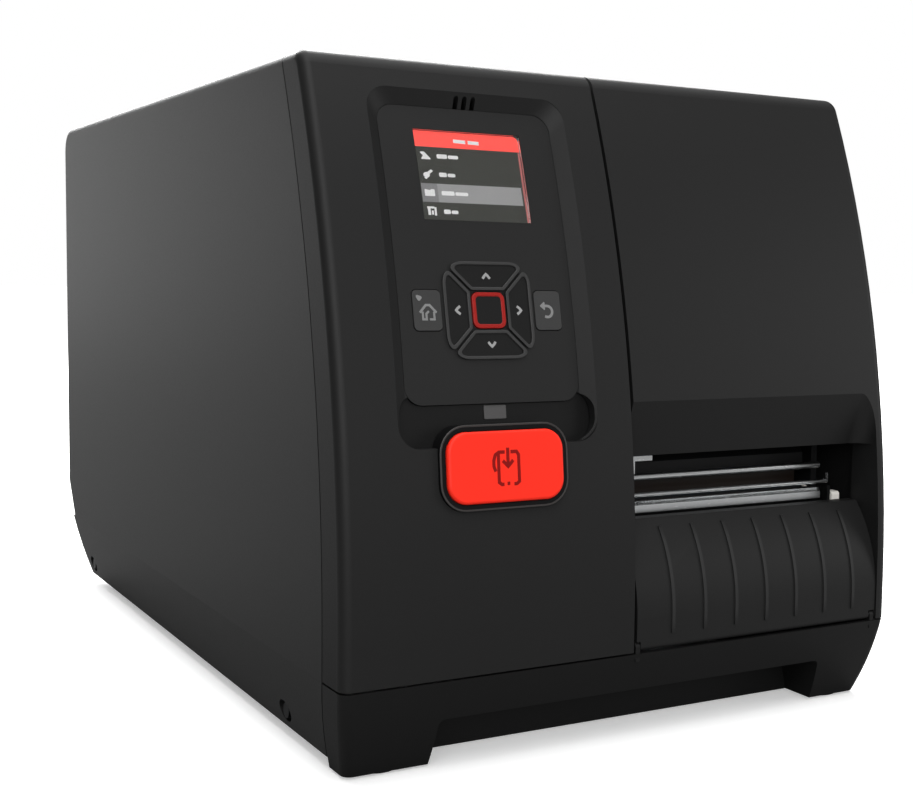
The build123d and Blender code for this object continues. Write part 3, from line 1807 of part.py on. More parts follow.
# ---------------------------------------------------------------- print head
with BuildPart() as head_carriage:
    add(
        side_view(
            [
                (head_front, head_low + thermal_seat),
                (head_front, head_low + head_face),
                (head_front + head_face / 2, head_top),
                (head_pivot_y, head_top),
                (head_pivot_y, head_low),
                (thermal_front + thermal_depth + 2 * thermal_seat, head_low),
                (thermal_front + thermal_depth + thermal_seat, head_low + thermal_seat),
            ],
            head_left,
            head_right,
        )
    )
    add(shaft(head_left, head_right, head_pivot_y, head_pivot_z, head_ear_r))
    with Locations(
        (
            (head_left + head_right) / 2,
            front + (head_front + head_pivot_y) / 2,
            head_top - head_pocket[2] / 2,
        )
    ):
        Box(*head_pocket, mode=Mode.SUBTRACT)
    add(
        shaft(left, right, head_pivot_y, head_pivot_z, pivot_rod_r + run_fit),
        mode=Mode.SUBTRACT,
    )

with BuildPart() as thermal_head:
    contact = platen_z + platen_r + thermal_gap
    add(
        span(
            head_left + thermal_margin,
            head_right - thermal_margin,
            thermal_front,
            thermal_front + thermal_depth,
            contact + nib_r / 2,
            head_low + thermal_seat,
        )
    )
    add(
        shaft(
            head_left + thermal_margin, head_right - thermal_margin, platen_y, contact + nib_r, nib_r
        )
    )

with BuildPart() as head_lever:
    add(shaft(wall_left, lever_x + over, lever_y, lever_z, lever_shaft_r))
    for x in cam_xs:
        add(shaft(x - cam_width / 2, x + cam_width / 2, lever_y, lever_z, cam_hub_r))
        add(shaft(x - cam_width / 2, x + cam_width / 2, lever_y, lever_z - cam_reach, cam_r))
        add(
            span(
                x - cam_width / 2,
                x + cam_width / 2,
                lever_y - cam_r,
                lever_y + cam_r,
                lever_z - cam_reach,
                lever_z,
            )
        )
    add(shaft(lever_x, lever_x + lever_t, lever_y, lever_z, lever_hub_r))
    add(
        span(
            lever_x,
            lever_x + lever_t,
            lever_y - lever_grip_r,
            lever_y + lever_grip_r,
            lever_z,
            lever_z + lever_arm,
        )
    )
    add(shaft(lever_x, lever_x + lever_t, lever_y, lever_z + lever_arm, lever_grip_r))

save(head_carriage, "head_carriage")
save(thermal_head, "thermal_head")
save(head_lever, "head_lever")

# ---------------------------------------------------------------- label path
deck_top = deck_low + deck_t

with BuildPart() as guide_roller:
    add(shaft(guide_left, guide_right, guide_y, guide_z, guide_r))
    add(shaft(left, right, guide_y, guide_z, guide_axle_r + run_fit), mode=Mode.SUBTRACT)

with BuildPart() as label_deck:
    add(span(wall_right, frame_x, deck_front, deck_rear, deck_low, deck_top))
    fillet(label_deck.edges().filter_by(Axis.X).group_by(Axis.Z)[-1], radius=deck_r)
    add(
        span(
            groove_left,
            edge_right + side_play,
            groove_y - groove_width / 2,
            groove_y + groove_width / 2,
            0,
            height,
        ),
        mode=Mode.SUBTRACT,
    )
    add(
        span(
            sensor_x - sensor_slot[0] / 2,
            sensor_x + sensor_slot[0] / 2,
            sensor_y - sensor_slot[1] / 2,
            sensor_y + sensor_slot[1] / 2,
            deck_top - deck_t / 2,
            height,
        ),
        mode=Mode.SUBTRACT,
    )

with BuildPart() as label_sensor:
    add(
        span(
            sensor_x - sensor_size[0] / 2,
            sensor_x + sensor_size[0] / 2,
            sensor_y - sensor_size[1] / 2,
            sensor_y + sensor_size[1] / 2,
            deck_low - sensor_size[2],
            deck_low,
        )
    )

with BuildPart() as edge_guide:
    foot_low = deck_low - edge_play - edge_foot
    add(
        span(
            edge_right - edge_t,
            edge_right,
            edge_front,
            edge_rear,
            deck_top + edge_play,
            deck_top + edge_height,
        )
    )
    add(
        span(
            edge_right - edge_t,
            edge_right,
            groove_y - groove_width / 2 + edge_play,
            groove_y + groove_width / 2 - edge_play,
            foot_low,
            deck_top + edge_height / 2,
        )
    )
    add(
        span(
            edge_right - edge_t,
            edge_right,
            groove_y - edge_foot_y / 2,
            groove_y + edge_foot_y / 2,
            foot_low,
            deck_low - edge_play,
        )
    )

save(guide_roller, "guide_roller")
save(label_deck, "label_deck")
save(label_sensor, "label_sensor")
save(edge_guide, "edge_guide")


# ---------------------------------------------------------------- ribbon spindles
def spindle(y, z):
    # a finned tube on a stub axle that reaches through the centre wall
    with BuildPart() as body:
        add(shaft(wall_left - clutch_depth, wall_right + over, y, z, spindle_shaft_r))
        add(shaft(wall_right + side_play, wall_right + spindle_flange, y, z, spindle_flange_r))
        with BuildSketch(Plane.YZ.offset(wall_right + spindle_flange / 2)):
            with Locations((front + y, z)):
                Circle(spindle_core_r)
                with PolarLocations(0, spindle_fin_count):
                    with Locations(((spindle_r + spindle_core_r) / 2 - over, 0)):
                        Rectangle(spindle_r - spindle_core_r + 2 * over, spindle_fin)
                Circle(spindle_core_r - spindle_fin, mode=Mode.SUBTRACT)
        extrude(amount=spindle_right - wall_right - spindle_flange / 2)
    return body.part


with BuildPart() as supply_spindle:
    add(spindle(supply_y, supply_z))

with BuildPart() as takeup_spindle:
    add(spindle(takeup_y, takeup_z))

with BuildPart() as spindle_clutches:
    for y, z in ((supply_y, supply_z), (takeup_y, takeup_z)):
        add(shaft(wall_left - clutch_depth / 2, wall_left, y, z, clutch_r))
        add(shaft(wall_left - clutch_depth, wall_left, y, z, clutch_step_r))
        add(shaft(left, right, y, z, axle_bore), mode=Mode.SUBTRACT)

save(supply_spindle, "supply_spindle")
save(takeup_spindle, "takeup_spindle")
save(spindle_clutches, "spindle_clutches")


# ---------------------------------------------------------------- label roll hanger
with BuildPart() as roll_hanger:
    add(shaft(wall_right, wall_right + hanger_flange, hanger_y, hanger_z, hanger_flange_r))
    with BuildSketch(Plane.YZ.offset(wall_right)):
        with Locations((front + hanger_y, hanger_z)):
            Circle(hanger_r)
            with Locations((0, -hanger_flat - hanger_r)):
                Rectangle(4 * hanger_r, 2 * hanger_r, mode=Mode.SUBTRACT)
    extrude(amount=hanger_right - wall_right)
    with BuildSketch(Plane.YZ.offset(wall_right + 2 * hanger_flange)):
        with Locations((front + hanger_y, hanger_z)):
            Circle(hanger_r - hanger_lip_t)
            with Locations((0, -hanger_flat - hanger_r + hanger_lip_t)):
                Rectangle(4 * hanger_r, 2 * hanger_r, mode=Mode.SUBTRACT)
    extrude(amount=hanger_right - wall_right, mode=Mode.SUBTRACT)

with BuildPart() as roll_guide:
    add(
        shaft(guide_disc_right - guide_disc_t, guide_disc_right, hanger_y, hanger_z, guide_disc_r)
    )
    add(shaft(guide_disc_right - guide_hub, guide_disc_right, hanger_y, hanger_z, guide_hub_r))
    with BuildSketch(Plane.YZ.offset(left)):
        with Locations((front + hanger_y, hanger_z)):
            Circle(hanger_r + guide_slack)
            with Locations((0, -hanger_flat - hanger_r - guide_slack)):
                Rectangle(4 * hanger_r, 2 * hanger_r, mode=Mode.SUBTRACT)
    extrude(amount=width, mode=Mode.SUBTRACT)

save(roll_hanger, "roll_hanger")
save(roll_guide, "roll_guide")

# ---------------------------------------------------------------- electronics
with BuildPart() as main_board:
    add(span(board_x - board_t, board_x, board_front, board_rear, board_low, board_high))
    for i in range(capacitor_count):
        add(
            shaft(
                board_face - capacitor_height,
                board_face,
                capacitor_y + i * capacitor_pitch,
                capacitor_z,
                capacitor_r,
            )
        )
    add(
        span(
            board_face - chip[0],
            board_face,
            chip_y,
            chip_y + chip[1],
            chip_z,
            chip_z + chip[2],
        )
    )
    add(
        span(
            board_face - heatsink_fin,
            board_face,
            heatsink_y,
            heatsink_y + heatsink[1],
            heatsink_z,
            heatsink_z + heatsink[2],
        )
    )
    for i in range(int(heatsink[1] / heatsink_pitch)):
        y = heatsink_y + i * heatsink_pitch
        add(
            span(
                board_face - heatsink[0],
                board_face - heatsink_fin / 2,
                y,
                y + heatsink_fin,
                heatsink_z,
                heatsink_z + heatsink[2],
            )
        )

with BuildPart() as power_supply:
    supply_right = supply_box_left + supply_box_width
    supply_end = supply_box_front + supply_box_length
    supply_top = tray_floor + supply_box_height
    add(
        span(supply_box_left, supply_right, supply_box_front, supply_end, tray_floor, supply_top)
    )
    add(
        span(
            supply_box_left + supply_box_wall,
            supply_right - supply_box_wall,
            supply_box_front + supply_box_wall,
            supply_end - supply_box_wall,
            tray_floor + supply_box_wall,
            supply_top - supply_box_wall,
        ),
        mode=Mode.SUBTRACT,
    )
    with BuildSketch(Plane.XY.offset(supply_top)):
        with Locations(
            ((supply_box_left + supply_right) / 2, front + (supply_box_front + supply_end) / 2)
        ):
            with GridLocations(1, supply_vent_pitch, 1, supply_vents):
                SlotOverall(supply_box_width / 2, supply_vent)
    extrude(amount=-2 * supply_box_wall, mode=Mode.SUBTRACT)
    add(
        span(
            supply_box_left + coil_in,
            supply_box_left + coil_in + coil_size[0],
            supply_box_front + coil_size[1],
            supply_box_front + 2 * coil_size[1],
            tray_floor + supply_box_wall / 2,
            tray_floor + coil_size[2],
        )
    )

with BuildPart() as fasteners:
    for y in (board_front + standoff_in, board_rear - standoff_in):
        for z in (board_low + standoff_in, board_high - standoff_in):
            add(shaft(board_x, wall_left, y, z, standoff_r))
    for y, z in frame_screw_spots:
        add(
            shaft(
                frame_right, frame_right + frame_screw_head, y, base_height + z, frame_screw_r
            )
        )
        add(
            shaft(
                frame_right - frame_screw_length,
                frame_right + frame_screw_head / 2,
                y,
                base_height + z,
                frame_screw_shank,
            )
        )

save(main_board, "main_board")
save(power_supply, "power_supply")
save(fasteners, "fasteners")
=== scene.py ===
import math

import bmesh
import bpy
from mathutils import Matrix, Vector


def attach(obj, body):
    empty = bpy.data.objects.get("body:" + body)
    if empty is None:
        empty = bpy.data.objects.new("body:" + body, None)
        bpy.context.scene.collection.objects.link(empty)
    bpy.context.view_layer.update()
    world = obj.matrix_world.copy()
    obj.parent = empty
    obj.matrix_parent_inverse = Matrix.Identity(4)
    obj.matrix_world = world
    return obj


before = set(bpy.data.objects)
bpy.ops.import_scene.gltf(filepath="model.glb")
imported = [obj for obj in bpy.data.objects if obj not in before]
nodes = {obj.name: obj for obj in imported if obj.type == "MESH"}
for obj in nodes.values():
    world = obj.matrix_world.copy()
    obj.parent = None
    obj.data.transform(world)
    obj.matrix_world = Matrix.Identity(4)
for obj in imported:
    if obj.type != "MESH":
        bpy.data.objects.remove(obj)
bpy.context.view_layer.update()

# Desktop industrial label printer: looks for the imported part, in metres.
mm = 0.001
print("frame loaded:", len(nodes), "nodes")


def linear(hexColour, share=1.0):
    # sRGB hex to the linear numbers a shader wants, with share as a brightness
    channels = [int(hexColour[i:i + 2], 16) / 255 for i in (1, 3, 5)]
    flat = [c / 12.92 if c <= 0.04045 else ((c + 0.055) / 1.055) ** 2.4 for c in channels]
    return [min(c * share, 1.0) for c in flat] + [1.0]


def addNode(tree, kind, settings=None, links=None):
    # one node, with its settings and the outputs that feed it
    node = tree.nodes.new(kind)
    for key, value in (settings or {}).items():
        if isinstance(key, str) and hasattr(node, key):
            setattr(node, key, value)
        else:
            node.inputs[key].default_value = value
    joinInputs(tree, node, links or {})
    return node


def joinInputs(tree, node, links):
    for key, (source, output) in links.items():
        tree.links.new(source.outputs[output], node.inputs[key])


def newMaterial(name):
    material = bpy.data.materials.new(name)
    material.use_nodes = True
    tree = material.node_tree
    tree.nodes.clear()
    shader = addNode(tree, "ShaderNodeBsdfPrincipled")
    addNode(tree, "ShaderNodeOutputMaterial", links={"Surface": (shader, "BSDF")})
    coords = addNode(tree, "ShaderNodeTexCoord")
    return material, tree, shader, coords


def setSockets(shader, values):
    for key, value in values.items():
        shader.inputs[key].default_value = value


def lengthAfter(tree, coords, steps):
    # length of the object's coordinates after some vector sums, each an operation and its operand
    source = (coords, "Object")
    for operation, operand in steps:
        step = addNode(tree, "ShaderNodeVectorMath", {"operation": operation, 1: operand}, {0: source})
        source = (step, "Vector")
    return addNode(tree, "ShaderNodeVectorMath", {"operation": "LENGTH"}, {0: source}), "Value"


def pocketShadeMask(tree, coords, pocketShade):
    # share of the sunk floor where shade is painted, found by its distance from the axis that the fascia
    # curves about
    length = lengthAfter(tree, coords, [("SUBTRACT", pocketShade["centre"]), ("MULTIPLY", (0, 1, 1))])
    deep = addNode(tree, "ShaderNodeMapRange", {"From Min": pocketShade["far"], "From Max": pocketShade["near"]},
                   {"Value": length})
    return deep, "Result"


def printedMask(tree, coords, printed):
    # share inside a rounded square, found by its distance from the square of its corner centres
    length = lengthAfter(tree, coords, [
        ("SUBTRACT", printed["centre"]), ("MULTIPLY", printed["flatten"]), ("ABSOLUTE", (0, 0, 0)),
        ("SUBTRACT", (printed["straight"],) * 3), ("MAXIMUM", (0, 0, 0))])
    inside = addNode(tree, "ShaderNodeMapRange",
                     {"From Min": printed["round"] + printed["soft"],
                      "From Max": printed["round"] - printed["soft"]}, {"Value": length})
    return inside, "Result"


def ribHighlightMask(tree, coords, ribHighlight):
    # share near the crest of each rib, where a highlight is painted, fading out at both ends, and none
    # beyond the first rib
    axes = addNode(tree, "ShaderNodeSeparateXYZ", None, {"Vector": (coords, "Object")})
    shifted = addNode(tree, "ShaderNodeMath", {"operation": "SUBTRACT", 1: ribHighlight["first"]}, {0: (axes, "X")})
    wrapped = addNode(tree, "ShaderNodeMath", {"operation": "PINGPONG", 1: ribHighlight["pitch"] / 2},
                      {0: (shifted, 0)})
    crestShare = addNode(tree, "ShaderNodeMapRange", {"From Min": ribHighlight["foot"], "From Max": ribHighlight["crest"]},
                     {"Value": (wrapped, 0)})
    low, high = (addNode(tree, "ShaderNodeMapRange", {"From Min": limit, "From Max": limit + fade},
                         {"Value": (axes, "Z")})
                 for limit, fade in ((ribHighlight["low"], ribHighlight["fade"]), (ribHighlight["high"], -ribHighlight["fade"])))
    side = addNode(tree, "ShaderNodeMath",
                   {"operation": "GREATER_THAN", 1: ribHighlight["first"] - ribHighlight["pitch"] / 2}, {0: (axes, "X")})
    share = (low, "Result")
    for part in ((high, "Result"), (side, 0), (crestShare, "Result")):
        share = (addNode(tree, "ShaderNodeMath", {"operation": "MULTIPLY"}, {0: share, 1: part}), 0)
    return share


mould = {"tint": (0.93, 1.07), "speckle": 0.12, "gloss": (-0.05, 0.05), "depth": 0.12, "specular": 0.5,
         "ior": 1.5}
zoneMasks = {"pocketShade": pocketShadeMask, "printed": printedMask, "ribHighlight": ribHighlightMask}


def mouldedPlastic(name, look):
    # injection-moulded part: spark-eroded grain, with a tint that drifts with the flow of the melt
    material, tree, shader, coords = newMaterial(name)
    darkest, lightest = (linear(look["colour"], share) for share in mould["tint"])
    smoothest, roughest = (look["roughness"] + change for change in mould["gloss"])
    grain = addNode(tree, "ShaderNodeTexNoise",
                    {"Scale": 1 / look["grain"], "Detail": 3.0, "Roughness": 0.6},
                    {"Vector": (coords, "Object")})
    flow = addNode(tree, "ShaderNodeTexNoise",
                   {"Scale": 1 / look["flow"], "Detail": 2.0, "Roughness": 0.5},
                   {"Vector": (coords, "Object")})
    tint = addNode(tree, "ShaderNodeMix", {"data_type": "RGBA", 6: darkest, 7: lightest},
                   {0: (flow, "Fac")})
    colour = addNode(tree, "ShaderNodeMix",
                     {"data_type": "RGBA", "blend_type": "MULTIPLY",
                      0: look.get("speckle", mould["speckle"])},
                     {6: (tint, 2), 7: (grain, "Fac")})
    gloss = addNode(tree, "ShaderNodeMapRange",
                    {"To Min": smoothest, "To Max": roughest},
                    {"Value": (grain, "Fac")})
    bump = addNode(tree, "ShaderNodeBump",
                   {"Strength": look["strength"], "Distance": look["grain"] * mould["depth"]},
                   {"Height": (grain, "Fac")})
    # zones mixed over the tint: printed ink, painted shade on the pocket floor and a painted highlight on
    # the rib crests
    for zone, mask in zoneMasks.items():
        if zone in look:
            share = mask(tree, coords, look[zone])
            colour = addNode(tree, "ShaderNodeMix",
                             {"data_type": "RGBA", 7: linear(look[zone]["colour"])},
                             {0: share, 6: (colour, 2)})
    joinInputs(tree, shader, {"Base Color": (colour, 2), "Roughness": (gloss, "Result"),
                              "Normal": (bump, "Normal")})
    setSockets(shader, {"IOR": mould["ior"], "Specular IOR Level": look.get("specular", mould["specular"])})
    return material


metalwork = {"tint": (0.86, 1.08), "gloss": (-0.06, 0.08), "depth": 0.1}


def metalFinish(name, look):
    # brushed, ground or cast metal: the grain is drawn out along an axis where a tool ran that way
    material, tree, shader, coords = newMaterial(name)
    darkest, lightest = (linear(look["colour"], share) for share in metalwork["tint"])
    smoothest, roughest = (look["roughness"] + change for change in metalwork["gloss"])
    stretch = addNode(tree, "ShaderNodeMapping", {"Scale": look["stretch"]}, {"Vector": (coords, "Object")})
    grain = addNode(tree, "ShaderNodeTexNoise",
                    {"Scale": 1 / look["grain"], "Detail": 4.0, "Roughness": 0.6},
                    {"Vector": (stretch, "Vector")})
    tint = addNode(tree, "ShaderNodeMix", {"data_type": "RGBA", 6: darkest, 7: lightest},
                   {0: (grain, "Fac")})
    gloss = addNode(tree, "ShaderNodeMapRange", {"To Min": smoothest, "To Max": roughest},
                    {"Value": (grain, "Fac")})
    bump = addNode(tree, "ShaderNodeBump",
                   {"Strength": look["strength"], "Distance": look["grain"] * metalwork["depth"]},
                   {"Height": (grain, "Fac")})
    joinInputs(tree, shader, {"Base Color": (tint, 2), "Roughness": (gloss, "Result"),
                              "Normal": (bump, "Normal")})
    setSockets(shader, {"Metallic": 1.0})
    return material


def boardLaminate(name, look):
    # glass-epoxy board: green mask over etched copper tracks, with tinned pads where the pins come through
    material, tree, shader, coords = newMaterial(name)
    turned = addNode(tree, "ShaderNodeMapping", {"Rotation": look["turn"]}, {"Vector": (coords, "Object")})
    tracks = addNode(tree, "ShaderNodeTexBrick",
                     {"Color1": linear(look["colour"]), "Color2": linear(look["colour"], 0.8),
                      "Mortar": linear(look["track"]), "Scale": 1 / look["pitch"], "Mortar Size": 0.06,
                      "Mortar Smooth": 0.3, "Brick Width": 1.7, "Row Height": 0.5, "offset": 0.4},
                     {"Vector": (turned, "Vector")})
    pads = addNode(tree, "ShaderNodeTexVoronoi", {"Scale": 1 / look["padPitch"], "Randomness": 0.35},
                   {"Vector": (coords, "Object")})
    tinned = addNode(tree, "ShaderNodeMapRange",
                     {"From Min": look["padSize"] + look["padEdge"], "From Max": look["padSize"]},
                     {"Value": (pads, "Distance")})
    colour = addNode(tree, "ShaderNodeMix", {"data_type": "RGBA", 7: linear(look["tin"])},
                     {0: (tinned, "Result"), 6: (tracks, "Color")})
    gloss = addNode(tree, "ShaderNodeMapRange",
                    {"To Min": look["roughness"], "To Max": look["roughness"] + look["tinDulling"]},
                    {"Value": (tinned, "Result")})
    bump = addNode(tree, "ShaderNodeBump", {"Strength": look["strength"], "Distance": look["padRise"]},
                   {"Height": (tinned, "Result")})
    joinInputs(tree, shader, {"Base Color": (colour, 2), "Roughness": (gloss, "Result"),
                              "Normal": (bump, "Normal"), "Metallic": (tinned, "Result")})
    setSockets(shader, {"IOR": look["ior"]})
    return material


def clearPlastic(name, look):
    # polished transparent sheet with a body tint and a faint haze
    material, tree, shader, coords = newMaterial(name)
    haze = addNode(tree, "ShaderNodeTexNoise", {"Scale": 1 / look["flow"], "Detail": 2.0},
                   {"Vector": (coords, "Object")})
    gloss = addNode(tree, "ShaderNodeMapRange",
                    {"To Min": look["roughness"], "To Max": look["roughness"] + look["haze"]},
                    {"Value": (haze, "Fac")})
    joinInputs(tree, shader, {"Roughness": (gloss, "Result")})
    setSockets(shader, {"Base Color": linear(look["colour"]), "IOR": look["ior"],
                        "Transmission Weight": look["clear"]})
    return material


backlight = {"cell": 0.4 * mm, "tint": (0.94, 1.06), "glow": 0.75, "roughness": 0.5, "specular": 0.2}


def litLayer(name, look):
    # part of the picture before the backlight: its own colour, lit a little unevenly through fine cells
    material, tree, shader, coords = newMaterial(name)
    darkest, lightest = (linear(look["colour"], share) for share in backlight["tint"])
    cells = addNode(tree, "ShaderNodeTexNoise", {"Scale": 1 / backlight["cell"], "Detail": 1.0},
                    {"Vector": (coords, "Object")})
    tint = addNode(tree, "ShaderNodeMix", {"data_type": "RGBA", 6: darkest, 7: lightest},
                   {0: (cells, "Fac")})
    joinInputs(tree, shader, {"Base Color": (tint, 2), "Emission Color": (tint, 2)})
    setSockets(shader, {"Emission Strength": backlight["glow"], "Roughness": backlight["roughness"],
                        "Specular IOR Level": backlight["specular"]})
    return material


housing = {"grain": 0.9 * mm, "flow": 60 * mm, "roughness": 0.52, "strength": 0.25, "specular": 0.22}
satin = {"grain": 0.6 * mm, "flow": 30 * mm, "roughness": 0.4, "strength": 0.1}
silicone = {"grain": 0.5 * mm, "flow": 20 * mm, "roughness": 0.6, "strength": 0.1, "specular": 0.2}
ink = {"grain": 0.3 * mm, "flow": 10 * mm, "roughness": 0.5, "strength": 0.05, "specular": 0.3,
       "speckle": 0.05}
plastics = {
    # ABS housing, moulded in an eroded tool: a soft even black, its grain drawn three times the real 0.3 mm
    "absCover": {**housing, "colour": "#171717", "flow": 70 * mm, "roughness": 0.5, "specular": 0.24},
    "absBase": {**housing, "colour": "#141414", "specular": 0.19},
    # painted shade: the floor of the fascia's sunk pocket is coloured a deeper black, standing in for the
    # shade in the recess below the plate
    "absFrontPanel": {**housing, "colour": "#181818",
                      "pocketShade": {"centre": (0, 353.5 * mm, 62 * mm), "far": 590.3 * mm, "near": 589.7 * mm,
                                 "colour": "#050505"}},
    # painted highlight: the door's ribs are coloured lighter along their crests, standing in for the light
    # they catch
    "absFrontDoor": {**housing, "colour": "#181818",
                     "ribHighlight": {"first": 15.5 * mm, "pitch": 17.5 * mm, "crest": 0.54 * mm, "foot": 1.35 * mm,
                              "low": 48 * mm, "high": 94 * mm, "fade": 6 * mm, "colour": "#272727"}},
    # inner ABS parts, from a coarser tool and duller
    "absInnerParts": {"colour": "#131313", "grain": 1.0 * mm, "flow": 50 * mm, "roughness": 0.6,
                      "strength": 0.3, "specular": 0.25},
    # ABS from a polished tool: smooth and evenly satin
    "absRedButton": {**satin, "colour": "#fb2d1b", "roughness": 0.42, "strength": 0.08, "specular": 0.2,
                     "speckle": 0.03},
    "absButtonRing": {**satin, "colour": "#0b0b0c", "specular": 0.14},
    # painted highlight: a lighter tone for the band along the ring's outer edge, standing in for light
    # caught by its rounded edge
    "absRingEdge": {"colour": "#33302f", "grain": 0.4 * mm, "flow": 20 * mm, "roughness": 0.35,
                    "strength": 0.05, "specular": 0.4},
    # screen-printed polyester film: flat and slightly glossy, printed darker behind the four-way pad
    "polyesterFilm": {"colour": "#1c1c1c", "grain": 0.5 * mm, "flow": 40 * mm, "roughness": 0.45,
                      "strength": 0.08, "specular": 0.24,
                      "printed": {"centre": (-69.5 * mm, 0, 190.3 * mm), "flatten": (1, 0, 1.024),
                                  "straight": 8.6 * mm, "round": 10.6 * mm, "soft": 0.1 * mm,
                                  "colour": "#0a0a0a"}},
    # cast silicone: dull, with a soft grip, and a little smoother where it is coloured
    "siliconeKey": {**silicone, "colour": "#0d0d0d"},
    "siliconeKeyGrey": {**silicone, "colour": "#363636", "roughness": 0.55},
    # the keys' raised lips: a real lip, coloured lighter than the keys as a painted highlight of light on
    # their bevels
    "siliconeKeyEdge": {**silicone, "colour": "#303030", "roughness": 0.5, "strength": 0.05,
                        "specular": 0.3},
    "redKeyEdge": {**silicone, "colour": "#8f1c18", "roughness": 0.45, "strength": 0.05, "specular": 0.15,
                   "speckle": 0.03},
    # screen-printed inks: flat colour without a grain of their own
    "whiteInk": {**ink, "colour": "#e4e4e4"},
    "paleInk": {**ink, "colour": "#929292"},
    "greyInk": {**ink, "colour": "#7a7a7a"},
    "darkRedInk": {**ink, "colour": "#820a07", "specular": 0.15},
    # moulded rubber feet, dead matt, and a ground silicone roller, a little smoother
    "naturalRubber": {"colour": "#161616", "grain": 0.8 * mm, "flow": 20 * mm, "roughness": 0.8,
                      "strength": 0.4, "specular": 0.3},
    "siliconePlaten": {"colour": "#1f2225", "grain": 0.4 * mm, "flow": 25 * mm, "roughness": 0.65,
                       "strength": 0.3, "specular": 0.3},
    # moulded nylon and cut acetal: waxy whites
    "whiteNylon": {"colour": "#e2dfd8", "grain": 0.6 * mm, "flow": 20 * mm, "roughness": 0.45,
                   "strength": 0.15, "speckle": 0.05},
    "gearAcetal": {"colour": "#d4d0c4", "grain": 0.5 * mm, "flow": 18 * mm, "roughness": 0.38,
                   "strength": 0.08, "speckle": 0.05},
    # moulded polycarbonate: blue where a hand is meant to go, grey for the unlit lens
    "bluePolycarbonate": {"colour": "#2463b4", "grain": 0.6 * mm, "flow": 25 * mm, "roughness": 0.4,
                          "strength": 0.12, "speckle": 0.06},
    "lightLens": {"colour": "#4d4c4c", "grain": 0.5 * mm, "flow": 10 * mm, "roughness": 0.4,
                  "strength": 0.05, "specular": 0.3},
    # fired glaze over alumina: brown-black and smooth
    "glazedCeramic": {"colour": "#17100c", "grain": 0.3 * mm, "flow": 12 * mm, "roughness": 0.3,
                      "strength": 0.08, "specular": 0.2},
    # polyester powder, sprayed and baked on steel: a fine orange peel
    "powderCoat": {"colour": "#09090a", "grain": 0.7 * mm, "flow": 40 * mm, "roughness": 0.55,
                   "strength": 0.35, "specular": 0.22},
}
metals = {
    # stamped, then zinc plated: pale and cloudy
    "zincPlatedSteel": {"colour": "#a9adae", "grain": 0.9 * mm, "stretch": (1, 1, 1),
                        "roughness": 0.38, "strength": 0.15},
    # ground between wheels: bright, with fine streaks along the bar
    "groundSteel": {"colour": "#dcdedf", "grain": 0.35 * mm, "stretch": (0.06, 1, 1),
                    "roughness": 0.24, "strength": 0.1},
    # pressure die cast: dull, with a pebbled skin
    "castAluminium": {"colour": "#85878a", "grain": 0.7 * mm, "stretch": (1, 1, 1),
                      "roughness": 0.5, "strength": 0.3},
    # oxidised and oiled: dark satin
    "blackOxideSteel": {"colour": "#232426", "grain": 0.6 * mm, "stretch": (1, 1, 1),
                        "roughness": 0.45, "strength": 0.2},
    # folded from tinned strip: bright, with rolling lines
    "tinPlatedShell": {"colour": "#b9bbbd", "grain": 0.4 * mm, "stretch": (1, 0.2, 1),
                       "roughness": 0.3, "strength": 0.1},
    # gold flashed over nickel: warm and bright
    "goldPlating": {"colour": "#e2b55a", "grain": 0.2 * mm, "stretch": (1, 0.1, 1),
                    "roughness": 0.24, "strength": 0.05},
}
boards = {
    # tracks and pads drawn about twice as coarse as the real 0.3 mm and 1.2 mm
    "solderMask": {"colour": "#0f4a2c", "track": "#1c6b42", "tin": "#b9bbb6", "pitch": 6 * mm,
                   "padPitch": 5 * mm, "padSize": 0.2, "padEdge": 0.02, "padRise": 0.05 * mm,
                   "roughness": 0.32, "tinDulling": 0.1, "strength": 0.3, "ior": 1.5,
                   "turn": (0, math.radians(90), 0)},
}
clears = {
    # extruded and smoked polycarbonate sheet, and float glass
    "smokedPolycarbonate": {"colour": "#7b7e81", "ior": 1.58, "clear": 0.95, "roughness": 0.05,
                            "haze": 0.04, "flow": 60 * mm},
    "displayGlass": {"colour": "#f4f4f4", "ior": 1.5, "clear": 1.0, "roughness": 0.04,
                     "haze": 0.04, "flow": 30 * mm},
}
litLayers = {
    "litDark": {"colour": "#343531"},
    "litRed": {"colour": "#f2524a"},
    "litRedDim": {"colour": "#a25f5d"},
    "litGrey": {"colour": "#858585"},
    "litCell": {"colour": "#707071"},
    "litWhite": {"colour": "#c9c9c9"},
}

finish = {}
for looks, make in ((plastics, mouldedPlastic), (metals, metalFinish), (boards, boardLaminate),
                    (clears, clearPlastic), (litLayers, litLayer)):
    for name, look in looks.items():
        finish[name] = make(name, look)
print("finishes made:", len(finish))


